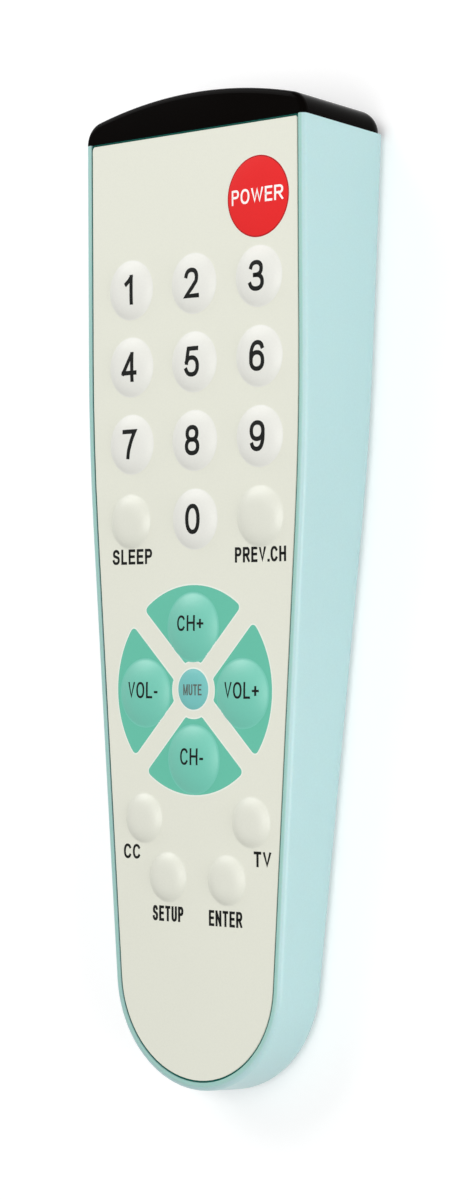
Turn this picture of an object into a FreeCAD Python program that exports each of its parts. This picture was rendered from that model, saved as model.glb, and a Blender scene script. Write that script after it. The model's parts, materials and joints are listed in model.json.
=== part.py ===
import FreeCAD, Part
import math
import os

import Sketcher
from FreeCAD import Placement, Rotation, Vector

# A large-key television remote control: a light blue wedge-shaped case with a cream key
# panel, twenty-two domed keys and a black infrared window across its head.
# It lies on its back, +Z up. +Y runs along its length to the head, +X to its right side.
# The origin is the middle of the bounding box, on the flat back (Z = 0).
# The key panel tilts: pieces that follow it are drawn in the face frame, whose Z = 0 is the
# panel's upper surface and whose origin lies above the row origin.

DOC = FreeCAD.newDocument("Remote")

# Driving sizes in millimetres and degrees: name, value, what it is
SIZES = [
    # case, in plan
    ("body_width", 57.0, "width of the case across its straight sides"),
    ("body_length", 190.0, "length over the infrared window and the tail"),
    ("window_depth", 7.4, "infrared window, from its joint with the case to its apex"),
    ("window_bow", 108.0, "plan radius of the window's front"),
    ("window_corner", 4.4, "plan radius of the window's corners"),
    ("taper_angle", 3.95, "lean of each side below the waist"),
    ("waist_from_tail", 140.0, "where the straight side ends"),
    ("waist_radius", 480.0, "plan radius that blends straight side and taper"),
    # case, from the side
    ("mid_height", 17.9, "height of the panel above the back at mid-length"),
    ("face_tilt", 3.9, "slope of the panel, higher at the head"),
    ("rim_proud", 0.2, "how far the rim stands above the panel"),
    ("rim_edge", 1.1, "rounding of the rim's outer edge"),
    ("back_edge", 2.6, "rounding of the back's edge"),
    ("window_back_edge", 4.1, "rounding of the window's back edge"),
    ("floor", 2.0, "thickness of the back"),
    ("head_wall", 2.0, "thickness of the wall behind the window"),
    # key panel
    ("rim_width", 1.5, "rim outside the panel"),
    ("groove", 0.2, "gap between rim and panel"),
    ("ledge", 1.1, "ledge that carries the panel's edge"),
    ("panel_thick", 1.6, "key panel"),
    ("panel_edge", 0.3, "rounding of the panel's upper edge"),
    ("panel_corner", 0.7, "plan radius of the panel's head corners"),
    # key layout: along the face from the window's joint, across from the case's side
    ("column_inset", 11.9, "outer digit columns, in from the case's side"),
    ("row_pitch", 15.0, "digit rows"),
    ("first_row", 29.4, "row of digits 1 to 3, from the joint"),
    ("power_inset", 11.6, "power key, in from the case's side"),
    ("power_along", 14.4, "power key, from the joint"),
    ("ring_along", 106.8, "middle of the channel and volume ring, from the joint"),
    ("ring_reach", 12.6, "from the middle of the ring's four keys to each of them"),
    ("ring_drop", 0.75, "middle of the ring's four keys, from the mute key towards the tail"),
    ("pair_inset", 9.64, "captions and source keys, in from the case's side"),
    ("pair_along", 131.7, "captions and source keys, from the joint"),
    ("foot_shift", 0.5, "captions, source, setup and enter keys, all of them to the right"),
    ("setup_across", 7.6, "setup and enter keys, from the centreline"),
    ("setup_along", 142.8, "setup and enter keys, from the joint"),
    # keys
    ("digit_radius", 5.7, "digit keys"),
    ("sleep_radius", 5.2, "sleep key"),
    ("power_radius", 7.7, "power key"),
    ("ring_radius", 6.4, "channel and volume keys"),
    ("mute_radius", 3.9, "mute key"),
    ("small_radius", 4.7, "the four keys below the ring"),
    ("key_crown", 1.0, "height of a domed key"),
    ("flat_crown", 0.45, "height of the power and mute keys"),
    ("key_gap", 0.1, "clearance round a key in the panel"),
    ("key_travel", 0.7, "stroke of a key"),
    ("flange_over", 0.5, "flange beyond the key, under the panel"),
    ("flange_thick", 0.6, "flange"),
    ("flange_play", 0.05, "gap between flange and panel at rest"),
    ("hub_radius", 3.0, "rubber hub of a key"),
    ("pill_radius", 2.0, "carbon pill under a hub"),
    ("pill_thick", 0.3, "carbon pill"),
    ("pill_gap", 0.05, "left between pill and board at full stroke"),
    # mat and board
    ("mat_thick", 0.6, "rubber key mat"),
    ("mat_hole_gap", 0.3, "clearance round a hub in the mat"),
    ("board_depth", 3.6, "board's upper side below the face"),
    ("board_thick", 1.2, "circuit board"),
    ("board_gap", 0.3, "clearance between board and case walls"),
    ("board_head", 7.8, "board's head end, from the joint"),
    ("mat_head", 8.5, "mat's head end, from the joint"),
    # case screws
    ("upper_screw_inset", 6.5, "screws between the digit rows, in from the case's side"),
    ("upper_screw_along", 36.9, "screws between the digit rows, from the joint"),
    ("lower_screw_inset", 7.14, "screws below the ring, in from the case's side"),
    ("lower_screw_along", 122.3, "screws below the ring, from the joint"),
    ("tail_screw_along", 25.2, "tail screw, from the tail"),
    ("boss_radius", 2.4, "panel boss above the board"),
    ("pin_radius", 1.8, "panel boss through the board"),
    ("pin_gap", 0.2, "clearance round the pin"),
    ("pin_end_gap", 0.3, "pin's end above the socket's bottom"),
    ("tower_radius", 3.7, "screw tower in the case"),
    ("socket_depth", 2.0, "socket in the tower's top"),
    ("seat_thick", 1.2, "web under the socket, which the head clamps"),
    ("screw_radius", 1.0, "screw thread"),
    ("screw_clear", 0.2, "clearance of a screw in its through hole"),
    ("pilot_gap", 0.05, "clearance of a screw in its pilot hole"),
    ("screw_grip", 5.6, "thread above the clamped web"),
    ("head_radius", 2.0, "screw head"),
    ("head_thick", 1.5, "screw head"),
    ("recess_span", 2.2, "cross recess in a screw head"),
    ("recess_slot", 0.6, "width of the cross recess"),
    ("recess_depth", 0.8, "depth of the cross recess"),
    # battery bay
    ("bay_along", 38.6, "middle of the bay, from the joint"),
    ("bay_length", 51.0, "bay, inside"),
    ("bay_width", 23.0, "bay, inside"),
    ("bay_height", 13.0, "bay's roof above the back"),
    ("bay_wall", 1.2, "walls and roof of the bay"),
    ("apron_thick", 3.8, "thickened back round the bay"),
    ("apron_side", 2.4, "apron beyond the door's recess"),
    ("cell_side_gap", 0.5, "clearance between a cell, its half of the bay and the wall"),
    ("cell_rise_gap", 0.1, "clearance of a cell over the door's ribs and under the roof"),
    ("cell_end_gap", 0.05, "gap between a cell and its flat contact"),
    ("button_radius", 1.9, "button of a cell"),
    ("button_height", 0.8, "button of a cell"),
    ("cell_shoulder", 0.6, "rounding of a cell's ends"),
    # contacts
    ("contact_thick", 0.4, "contact plates"),
    ("contact_inset", 0.95, "contact plates, in from the cell's outline"),
    ("contact_dimple", 0.5, "raised dimple on a plate"),
    ("dimple_inset", 0.4, "dimple, in from the outline of the cell's button"),
    ("wire_radius", 0.25, "contact spring wire"),
    ("coil_base", 3.3, "contact spring at its plate"),
    ("coil_tip", 2.2, "contact spring at the cell"),
    ("coil_turns", 3.5, "turns of a contact spring"),
    ("coil_length", 5.05, "contact spring, pressed by its cell"),
    ("coil_gap", 0.05, "gap at each end of a contact spring"),
    ("tab_width", 2.6, "solder tab from a plate to the board"),
    ("slot_gap", 0.25, "clearance of a tab in the bay's roof"),
    # battery door
    ("door_recess", 1.8, "depth of the door's recess"),
    ("door_side", 2.5, "recess beyond the bay, at the sides"),
    ("door_end", 8.5, "recess beyond the bay, at its ends"),
    ("door_gap", 0.2, "clearance round the door"),
    ("door_sunk", 0.2, "door below the back's surface"),
    ("door_thick", 1.3, "door plate"),
    ("door_corner", 2.5, "plan radius of the door's corners"),
    ("door_screw_from_bay", 5.0, "door screws, beyond the bay's ends"),
    ("lip_gap", 0.3, "clearance of the door's lip in the bay"),
    ("lip_thick", 1.2, "lip"),
    ("lip_height", 0.8, "lip above the door plate"),
    ("gasket_inset", 0.6, "gasket outside the bay's edge"),
    ("gasket_width", 1.2, "gasket"),
    ("gasket_groove", 0.3, "depth of the gasket's groove"),
    ("gasket_play", 0.05, "gap between gasket and case"),
    ("rib_pitch", 12.0, "ribs between the lip's sides"),
    ("door_boss_radius", 3.0, "bosses for the door's screws"),
    ("door_boss_height", 9.0, "bosses for the door's screws"),
    ("door_screw_length", 5.6, "thread above the door"),
    ("door_head_thick", 0.7, "flat head of a door screw"),
    # infrared window and emitters
    ("port_width", 40.0, "opening in the head wall"),
    ("port_height", 9.2, "opening in the head wall"),
    ("emitter_drop", 2.1, "emitters' axis below the board"),
    ("emitter_across", 9.0, "emitters, from the centreline"),
    ("emitter_radius", 2.5, "emitter"),
    ("emitter_flange", 2.9, "emitter's base"),
    ("emitter_collar", 1.0, "thickness of the emitter's base"),
    ("emitter_tip", 0.1, "flat left at the tip of the emitter's dome"),
    ("emitter_base", 6.6, "emitter's base, from the joint"),
    ("emitter_length", 9.2, "emitter over its dome"),
    ("lead_span", 1.27, "emitter lead, from its axis"),
    ("lead_width", 0.5, "emitter lead"),
    ("window_hollow", 3.4, "depth of the window's hollow"),
    ("tongue_gap", 0.2, "clearance of the window's tongue in the port"),
    ("tongue_wall", 1.2, "tongue"),
    ("tongue_length", 1.9, "tongue"),
    # parts on the board
    ("chip_along", 91.8, "controller chip, from the joint"),
    ("chip_length", 15.0, "controller chip"),
    ("chip_width", 7.5, "controller chip"),
    ("chip_thick", 2.2, "controller chip"),
    ("pin_pitch", 2.5, "controller chip's legs"),
    ("leg_reach", 1.4, "controller chip's legs"),
    ("leg_width", 0.6, "controller chip's legs"),
    ("can_along", 20.0, "capacitor, from the controller towards the tail"),
    ("can_radius", 2.5, "capacitor"),
    ("can_length", 7.0, "capacitor"),
    ("crystal_along", 14.0, "resonator, from the controller towards the head"),
    ("crystal_length", 7.4, "resonator"),
    ("crystal_width", 3.0, "resonator"),
    ("crystal_thick", 2.4, "resonator"),
    ("rest_gap", 0.05, "gap between board and the parts on it"),
]


class Size:
    """A length or angle that carries its value and the expression that gives it."""

    def __init__(self, value, text):
        self.value = float(value)
        self.text = text

    def join(self, other, sign, value):
        return Size(value, "(" + self.text + " " + sign + " " + size(other).text + ")")

    def __add__(self, other):
        return self.join(other, "+", self.value + size(other).value)

    def __sub__(self, other):
        return self.join(other, "-", self.value - size(other).value)

    def __mul__(self, other):
        return self.join(other, "*", self.value * size(other).value)

    def __truediv__(self, other):
        return self.join(other, "/", self.value / size(other).value)

    def __neg__(self):
        return Size(-self.value, "(0 - " + self.text + ")")


def size(number):
    """A Size made from a plain number, or the Size itself."""
    if isinstance(number, Size):
        return number
    return Size(number, repr(float(number)))


def least(first, second):
    """The smaller of two Sizes."""
    first, second = size(first), size(second)
    return Size(min(first.value, second.value), "min(" + first.text + "; " + second.text + ")")


def turn(name, angle):
    """A trigonometric function of an angle in degrees."""
    value = {"sin": math.sin, "cos": math.cos, "tan": math.tan}[name](math.radians(angle.value))
    return Size(value, name + "(" + angle.text + " * 1 deg)")


class Sheet:
    """The spreadsheet of driving sizes. Each size is also an attribute."""

    def __init__(self, rows):
        self.cells = DOC.addObject("Spreadsheet::Sheet", "Sizes")
        for number, (alias, value, note) in enumerate(rows, start=1):
            self.cells.set("A" + str(number), alias)
            self.cells.set("B" + str(number), str(value))
            self.cells.set("C" + str(number), note)
            self.cells.setAlias("B" + str(number), alias)
            setattr(self, alias, Size(value, "Sizes." + alias))


S = Sheet(SIZES)
DOC.recompute()

# Sizes that follow from the driving ones
HALF_WIDTH = S.body_width / 2
TAIL = -S.body_length / 2
APEX = S.body_length / 2
JOINT = APEX - S.window_depth
WAIST = TAIL + S.waist_from_tail
SIN_TILT = turn("sin", S.face_tilt)
COS_TILT = turn("cos", S.face_tilt)
TAN_TILT = turn("tan", S.face_tilt)
TAN_TAPER = turn("tan", S.taper_angle)
SIN_TAPER = turn("sin", S.taper_angle)
COS_TAPER = turn("cos", S.taper_angle)
TAPER_CORNER = WAIST - S.waist_radius * turn("tan", S.taper_angle / 2)
TAIL_RADIUS = (HALF_WIDTH * COS_TAPER - (TAPER_CORNER - TAIL) * SIN_TAPER) / (size(1) - SIN_TAPER)
FACE_JOINT = JOINT / COS_TILT
FACE_TAIL = TAIL / COS_TILT
PANEL_HEAD = JOINT - S.groove
WALL = S.rim_width + S.groove + S.ledge
CAVITY_HEAD = JOINT - S.head_wall
BOARD_UNDER = S.board_depth + S.board_thick
PIN_LENGTH = S.board_thick + S.socket_depth - S.pin_end_gap
RIM_LEVEL = S.mid_height + S.rim_proud / COS_TILT
TOP_SPARE = size(12)

# The bay's ends, and the cells: the largest that the bay takes between its walls, and between
# its roof and the door's ribs
BAY_MIDDLE = JOINT - S.bay_along
BAY_HEAD = BAY_MIDDLE + S.bay_length / 2
BAY_TAIL = BAY_MIDDLE - S.bay_length / 2
DOOR_TOP = S.door_sunk + S.door_thick
RIB_TOP = DOOR_TOP + S.lip_height
CELL_RADIUS = least(S.bay_width / 4 - S.cell_side_gap,
                    (S.bay_height - RIB_TOP) / 2 - S.cell_rise_gap)
CELL_ACROSS = S.bay_width / 4
CELL_HEIGHT = RIB_TOP + S.cell_rise_gap + CELL_RADIUS
CONTACT_SPAN = (CELL_RADIUS - S.contact_inset) * 2
# A cell and its spring fill the bay's length between the two contacts
BUTTON_SIDE = S.contact_thick + S.contact_dimple + S.cell_end_gap + S.button_height
SPRING_SIDE = S.contact_thick + S.coil_length + S.coil_gap * 2
CELL_LENGTH = S.bay_length - BUTTON_SIDE - SPRING_SIDE
# The can is off the bay's middle, because its button side has the flat contact
CELL_MIDDLE = (SPRING_SIDE - BUTTON_SIDE) / 2


def board_level(along):
    """Height of the board's underside above the back, at a place in the row frame."""
    return S.mid_height + along * TAN_TILT - BOARD_UNDER / COS_TILT


EMITTER_PLACE = JOINT - S.emitter_base
EMITTER_HEIGHT = board_level(EMITTER_PLACE) - S.emitter_drop
CHIP_PLACE = FACE_JOINT - S.chip_along


def half_width_at(along, inset):
    """Half the tapered width at a place on the face below the waist, less an inset."""
    return HALF_WIDTH - inset / COS_TAPER - (TAPER_CORNER - along * COS_TILT) * TAN_TAPER


def screw_table():
    """Every case screw's place across and along the face."""
    upper = HALF_WIDTH - S.upper_screw_inset
    upper_along = FACE_JOINT - S.upper_screw_along
    lower_along = FACE_JOINT - S.lower_screw_along
    lower = half_width_at(lower_along, S.lower_screw_inset)
    return {
        "upper_left": (-upper, upper_along),
        "upper_right": (upper, upper_along),
        "lower_left": (-lower, lower_along),
        "lower_right": (lower, lower_along),
        "tail": (size(0), FACE_TAIL + S.tail_screw_along),
    }


SCREWS = screw_table()


def key_table():
    """Every key's name, place across and along the face, radius and crown."""
    column = HALF_WIDTH - S.column_inset
    first_row = FACE_JOINT - S.first_row
    keys = [("power_key", HALF_WIDTH - S.power_inset, FACE_JOINT - S.power_along,
             S.power_radius, S.flat_crown)]
    for digit in range(1, 10):
        across = column * ((digit - 1) % 3 - 1)
        along = first_row - S.row_pitch * ((digit - 1) // 3)
        keys.append(("digit_%d_key" % digit, across, along, S.digit_radius, S.key_crown))
    bottom_row = first_row - S.row_pitch * 3
    keys.append(("sleep_key", -column, bottom_row, S.sleep_radius, S.key_crown))
    keys.append(("digit_0_key", size(0), bottom_row, S.digit_radius, S.key_crown))
    keys.append(("previous_channel_key", column, bottom_row, S.digit_radius, S.key_crown))
    ring = FACE_JOINT - S.ring_along
    reach = S.ring_reach
    cross = ring - S.ring_drop
    keys.append(("channel_up_key", size(0), cross + reach, S.ring_radius, S.key_crown))
    keys.append(("channel_down_key", size(0), cross - reach, S.ring_radius, S.key_crown))
    keys.append(("volume_down_key", -reach, cross, S.ring_radius, S.key_crown))
    keys.append(("volume_up_key", reach, cross, S.ring_radius, S.key_crown))
    keys.append(("mute_key", size(0), ring, S.mute_radius, S.flat_crown))
    pair_along = FACE_JOINT - S.pair_along
    pair = half_width_at(pair_along, S.pair_inset)
    setup_along = FACE_JOINT - S.setup_along
    shift = S.foot_shift
    keys.append(("captions_key", shift - pair, pair_along, S.small_radius, S.key_crown))
    keys.append(("source_key", shift + pair, pair_along, S.small_radius, S.key_crown))
    keys.append(("setup_key", shift - S.setup_across, setup_along, S.small_radius, S.key_crown))
    keys.append(("enter_key", shift + S.setup_across, setup_along, S.small_radius, S.key_crown))
    return keys


KEYS = key_table()


# Helpers for bodies, sketches and features

def bind(thing, path, value):
    """Set one property of an object from a Size."""
    thing.setExpression(path, size(value).text)


def body(label, across=0, along=0, height=0, tilt=False):
    """A named body at a place in the row frame, turned with the face if tilt is set."""
    made = DOC.addObject("PartDesign::Body", label)
    made.Label = label
    if tilt:
        made.Placement = Placement(Vector(0, 0, 0), Rotation(Vector(1, 0, 0), 1.0))
        bind(made, "Placement.Rotation.Angle", S.face_tilt)
    bind(made, "Placement.Base.x", across)
    bind(made, "Placement.Base.y", along)
    bind(made, "Placement.Base.z", height)
    return made


def face_body(label, across=0, along=0):
    """A body in the face frame, at a place on the panel's upper surface."""
    along = size(along)
    return body(label, across, along * COS_TILT, S.mid_height + along * SIN_TILT, tilt=True)


def sketch(owner, role="XY_Plane", offset=0, tilt=False, label="Sketch"):
    """A sketch on one of the body's origin planes, offset along its normal."""
    drawn = owner.newObject("Sketcher::SketchObject", owner.Label + label)
    plane = [item for item in owner.Origin.OriginFeatures if item.Role == role][0]
    drawn.AttachmentSupport = [(plane, "")]
    drawn.MapMode = "FlatFace"
    if tilt:
        drawn.AttachmentOffset = Placement(Vector(0, 0, 0), Rotation(Vector(1, 0, 0), 1.0))
        bind(drawn, "AttachmentOffset.Rotation.Angle", S.face_tilt)
        offset = size(offset)
        bind(drawn, "AttachmentOffset.Base.y", -offset * SIN_TILT)
        bind(drawn, "AttachmentOffset.Base.z", S.mid_height + offset * COS_TILT)
    else:
        bind(drawn, "AttachmentOffset.Base.z", offset)
    return drawn


def fix(drawn, kind, args, value):
    """Add a dimension that a Size drives."""
    value = size(value)
    number = drawn.addConstraint(Sketcher.Constraint(kind, *args, value.value))
    bind(drawn, "Constraints[%d]" % number, value)


def fix_point(drawn, edge, end, x, y):
    """Hold a point of the sketch at a place from its origin."""
    for kind, axis, value in (("DistanceX", -2, size(x)), ("DistanceY", -1, size(y))):
        if abs(value.value) < 1e-9:
            drawn.addConstraint(Sketcher.Constraint("PointOnObject", edge, end, axis))
        else:
            fix(drawn, kind, (-1, 1, edge, end), value)


def circle(drawn, x, y, radius):
    """Draw a circle from Sizes."""
    centre = Vector(size(x).value, size(y).value, 0)
    edge = drawn.addGeometry(Part.Circle(centre, Vector(0, 0, 1), size(radius).value), False)
    fix_point(drawn, edge, 3, x, y)
    fix(drawn, "Radius", (edge,), radius)
    return edge


def polygon(drawn, points):
    """Draw a closed polygon whose corners are pairs of Sizes."""
    spots = [Vector(size(x).value, size(y).value, 0) for x, y in points]
    count = len(spots)
    edges = []
    for index in range(count):
        line = Part.LineSegment(spots[index], spots[(index + 1) % count])
        edges.append(drawn.addGeometry(line, False))
    for index in range(count):
        following = edges[(index + 1) % count]
        drawn.addConstraint(Sketcher.Constraint("Coincident", edges[index], 2, following, 1))
    for edge, (x, y) in zip(edges, points):
        fix_point(drawn, edge, 1, x, y)
    return edges


def box(drawn, x, y, width, height):
    """Draw a rectangle round a middle point."""
    x, y = size(x), size(y)
    half_width, half_height = size(width) / 2, size(height) / 2
    corners = [(-1, -1), (1, -1), (1, 1), (-1, 1)]
    polygon(drawn, [(x + half_width * i, y + half_height * j) for i, j in corners])


def case_outline(drawn, inset, head, stretch=None):
    """Draw the case's plan outline, inset all round, with a straight head edge.

    The sides run straight, bend at the waist, taper and meet in one round tail.
    stretch lengthens it along for sketches that lie in the tilted face.
    """
    inset, head = size(inset), size(head)
    scale = stretch or size(1)
    waist = WAIST / scale
    tail_middle = (TAIL + TAIL_RADIUS) / scale
    half = HALF_WIDTH - inset
    waist_middle = HALF_WIDTH - S.waist_radius
    waist_radius = S.waist_radius - inset
    tail_radius = TAIL_RADIUS - inset
    lean = math.radians(S.taper_angle.value)
    side = Vector(math.cos(lean), -math.sin(lean), 0)
    waist_spot = Vector(waist_middle.value, waist.value, 0)
    tail_spot = Vector(0, tail_middle.value, 0)

    def flip(spot):
        return Vector(-spot.x, spot.y, 0)

    head_right = Vector(half.value, head.value, 0)
    side_end = Vector(half.value, waist.value, 0)
    taper_start = waist_spot + side * waist_radius.value
    taper_end = tail_spot + side * tail_radius.value
    up = Vector(0, 0, 1)
    waist_circle = Part.Circle(waist_spot, up, waist_radius.value)
    flip_circle = Part.Circle(flip(waist_spot), up, waist_radius.value)
    tail_circle = Part.Circle(tail_spot, up, tail_radius.value)
    add = drawn.addGeometry
    top = add(Part.LineSegment(head_right, flip(head_right)), False)
    left = add(Part.LineSegment(flip(head_right), flip(side_end)), False)
    left_waist = add(Part.ArcOfCircle(flip_circle, math.pi, math.pi + lean), False)
    left_taper = add(Part.LineSegment(flip(taper_start), flip(taper_end)), False)
    tail = add(Part.ArcOfCircle(tail_circle, math.pi + lean, 2 * math.pi - lean), False)
    right_taper = add(Part.LineSegment(taper_end, taper_start), False)
    right_waist = add(Part.ArcOfCircle(waist_circle, -lean, 0), False)
    right = add(Part.LineSegment(side_end, head_right), False)
    rule = Sketcher.Constraint
    drawn.addConstraint(rule("Coincident", top, 2, left, 1))
    drawn.addConstraint(rule("Coincident", right, 2, top, 1))
    chain = [left, left_waist, left_taper, tail, right_taper, right_waist, right]
    for first, second in zip(chain, chain[1:]):
        drawn.addConstraint(rule("Tangent", first, 2, second, 1))
    drawn.addConstraint(rule("Horizontal", top))
    drawn.addConstraint(rule("Vertical", left))
    drawn.addConstraint(rule("Vertical", right))
    fix(drawn, "DistanceY", (-1, 1, top, 1), head)
    fix_point(drawn, right_waist, 3, waist_middle, waist)
    fix_point(drawn, left_waist, 3, -waist_middle, waist)
    fix_point(drawn, tail, 3, 0, tail_middle)
    fix(drawn, "Radius", (right_waist,), waist_radius)
    fix(drawn, "Radius", (left_waist,), waist_radius)
    fix(drawn, "Radius", (tail,), tail_radius)


def pad(drawn, length, down=False):
    """Add the sketch's area, upward or downward."""
    owner = drawn.getParentGeoFeatureGroup()
    made = owner.newObject("PartDesign::Pad", drawn.Label + "Pad")
    made.Profile = drawn
    made.Reversed = down
    bind(made, "Length", length)
    return made


def pocket(drawn, depth=None, up=False, both=False):
    """Cut the sketch's area, downward or upward, to a depth or right through."""
    owner = drawn.getParentGeoFeatureGroup()
    made = owner.newObject("PartDesign::Pocket", drawn.Label + "Pocket")
    made.Profile = drawn
    made.Reversed = up
    if depth is None:
        made.Type = "ThroughAll"
    else:
        bind(made, "Length", depth)
    if both:
        made.SideType = "Symmetric"
    DOC.recompute()
    base = made.BaseFeature.Shape.Volume
    if made.Shape.isNull() or made.Shape.Volume > base - 1e-3:
        raise RuntimeError(made.Label + " cuts nothing")
    return made


def round_edges(owner, radius, pick, label):
    """Round the edges of the body's last feature that pick() accepts."""
    DOC.recompute()
    base = owner.Tip
    names = []
    for number, edge in enumerate(base.Shape.Edges, start=1):
        if pick(edge):
            names.append("Edge" + str(number))
    if not names:
        raise RuntimeError(owner.Label + " has no edge for " + label)
    made = owner.newObject("PartDesign::Fillet", owner.Label + label)
    made.Base = (base, names)
    bind(made, "Radius", radius)
    DOC.recompute()
    return made


def span(edge, axis):
    """The least and greatest place of an edge along an axis, in its body's frame."""
    limits = edge.BoundBox
    if axis == "x":
        return limits.XMin, limits.XMax
    if axis == "y":
        return limits.YMin, limits.YMax
    return limits.ZMin, limits.ZMax


def level(edge, axis, value, slack=0.02):
    """True where the whole edge lies at one place along an axis."""
    low, high = span(edge, axis)
    return abs(low - value) < slack and abs(high - value) < slack


def above_face(owner, surface_level, label):
    """Cut away what is above a plane parallel to the face."""
    drawn = sketch(owner, "YZ_Plane", label=label)
    reach = S.body_length
    low = surface_level - reach * TAN_TILT
    high = surface_level + reach * TAN_TILT
    top = surface_level + reach
    polygon(drawn, [(-reach, low), (reach, high), (reach, top), (-reach, top)])
    return pocket(drawn, both=True)


def on_face(edge, surface_level):
    """True where an edge lies in a plane parallel to the face."""
    rise = math.tan(math.radians(S.face_tilt.value))
    for vertex in edge.Vertexes:
        if abs(vertex.Z - surface_level.value - vertex.Y * rise) > 0.02:
            return False
    return True


# Case

def rear_case():
    """The light blue tub: outer wall, panel seat, screw towers and battery bay."""
    owner = body("rear_case")
    outer = sketch(owner, label="Outline")
    case_outline(outer, 0, JOINT)
    pad(outer, S.mid_height + TOP_SPARE)
    above_face(owner, RIM_LEVEL, "FaceCut")

    def rim_edge(edge):
        return on_face(edge, RIM_LEVEL) and not level(edge, "y", JOINT.value)

    def back_edge(edge):
        return level(edge, "z", 0) and not level(edge, "y", JOINT.value)

    round_edges(owner, S.rim_edge, rim_edge, "RimEdge")
    round_edges(owner, S.back_edge, back_edge, "BackEdge")

    seat = sketch(owner, offset=1, tilt=True, label="PanelSeat")
    case_outline(seat, S.rim_width, (JOINT + S.head_wall) / COS_TILT, COS_TILT)
    pocket(seat, S.panel_thick + 1)
    cavity = sketch(owner, offset=S.floor, label="Cavity")
    case_outline(cavity, WALL, CAVITY_HEAD)
    pocket(cavity, up=True)

    apron = sketch(owner, label="Apron")
    apron_width = S.bay_width + S.door_side * 2 + S.apron_side * 2
    apron_head = CAVITY_HEAD + S.head_wall / 2
    apron_tail = BAY_TAIL - S.door_end - S.apron_side
    box(apron, 0, (apron_head + apron_tail) / 2, apron_width, apron_head - apron_tail)
    pad(apron, S.apron_thick)
    bay = sketch(owner, label="BayWalls")
    box(bay, 0, BAY_MIDDLE, S.bay_width + S.bay_wall * 2, S.bay_length + S.bay_wall * 2)
    pad(bay, S.bay_height + S.bay_wall)
    bosses = sketch(owner, label="DoorBosses")
    for along in door_screw_places():
        circle(bosses, 0, along, S.door_boss_radius)
    pad(bosses, S.door_boss_height)
    towers = sketch(owner, offset=-BOARD_UNDER, tilt=True, label="Towers")
    for across, along in SCREWS.values():
        circle(towers, across, along, S.tower_radius)
    pad(towers, S.mid_height + TOP_SPARE, down=True)
    below = sketch(owner, label="BelowBack")
    box(below, 0, 0, S.body_width * 2, S.body_length * 2)
    pocket(below, S.mid_height + TOP_SPARE * 2)

    room = sketch(owner, label="BayRoom")
    box(room, 0, BAY_MIDDLE, S.bay_width, S.bay_length)
    pocket(room, S.bay_height, up=True)
    recess = sketch(owner, label="DoorRecess")
    rounded_box(recess, BAY_MIDDLE, S.bay_width + S.door_side * 2,
                S.bay_length + S.door_end * 2, S.door_corner + S.door_gap)
    pocket(recess, S.door_recess, up=True)
    holes = sketch(owner, label="DoorThreads")
    for along in door_screw_places():
        circle(holes, 0, along, S.screw_radius + S.screw_clear)
    pocket(holes, S.door_boss_height - S.bay_wall, up=True)
    slots = sketch(owner, label="TabSlots")
    for side in (-1, 1):
        box(slots, CELL_ACROSS * side, BAY_HEAD - S.contact_thick / 2 - S.slot_gap / 2,
            S.tab_width + S.slot_gap * 2, S.contact_thick + S.slot_gap)
    pocket(slots, S.bay_height + S.bay_wall + 1, up=True)

    sockets = sketch(owner, offset=-BOARD_UNDER, tilt=True, label="Sockets")
    through = sketch(owner, offset=-BOARD_UNDER, tilt=True, label="ScrewHoles")
    seats = sketch(owner, offset=-(BOARD_UNDER + S.socket_depth + S.seat_thick), tilt=True,
                   label="HeadSeats")
    for across, along in SCREWS.values():
        circle(sockets, across, along, S.pin_radius + S.pin_gap)
        circle(through, across, along, S.screw_radius + S.screw_clear)
        circle(seats, across, along, S.head_radius + S.screw_clear)
    pocket(sockets, S.socket_depth)
    pocket(through)
    pocket(seats)

    port = sketch(owner, "XZ_Plane", offset=-CAVITY_HEAD + 1, label="Port")
    box(port, 0, EMITTER_HEIGHT, S.port_width, S.port_height)
    pocket(port, S.head_wall + 2)
    return owner


def door_screw_places():
    """Where the two door screws lie, along."""
    return (BAY_TAIL - S.door_screw_from_bay, BAY_HEAD + S.door_screw_from_bay)


def rounded_box(drawn, along, width, length, corner):
    """Draw a rectangle on the centreline with round corners."""
    along, corner = size(along), size(corner)
    half, reach = size(width) / 2, size(length) / 2
    inner_x, inner_y = half - corner, reach - corner
    add = drawn.addGeometry
    rule = Sketcher.Constraint
    arcs = []
    spots = []
    for sign_x, sign_y, start in ((1, -1, 1.5), (1, 1, 0.0), (-1, 1, 0.5), (-1, -1, 1.0)):
        x = inner_x * sign_x
        y = along + inner_y * sign_y
        ring = Part.Circle(Vector(x.value, y.value, 0), Vector(0, 0, 1), corner.value)
        arcs.append(add(Part.ArcOfCircle(ring, start * math.pi, (start + 0.5) * math.pi), False))
        spots.append((x, y))
    for index in range(4):
        first = drawn.Geometry[arcs[index]].EndPoint
        second = drawn.Geometry[arcs[(index + 1) % 4]].StartPoint
        line = add(Part.LineSegment(first, second), False)
        drawn.addConstraint(rule("Tangent", arcs[index], 2, line, 1))
        drawn.addConstraint(rule("Tangent", line, 2, arcs[(index + 1) % 4], 1))
    for arc, (x, y) in zip(arcs, spots):
        fix_point(drawn, arc, 3, x, y)
    fix(drawn, "Radius", (arcs[0],), corner)
    for arc in arcs[1:]:
        drawn.addConstraint(rule("Equal", arcs[0], arc))


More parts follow.
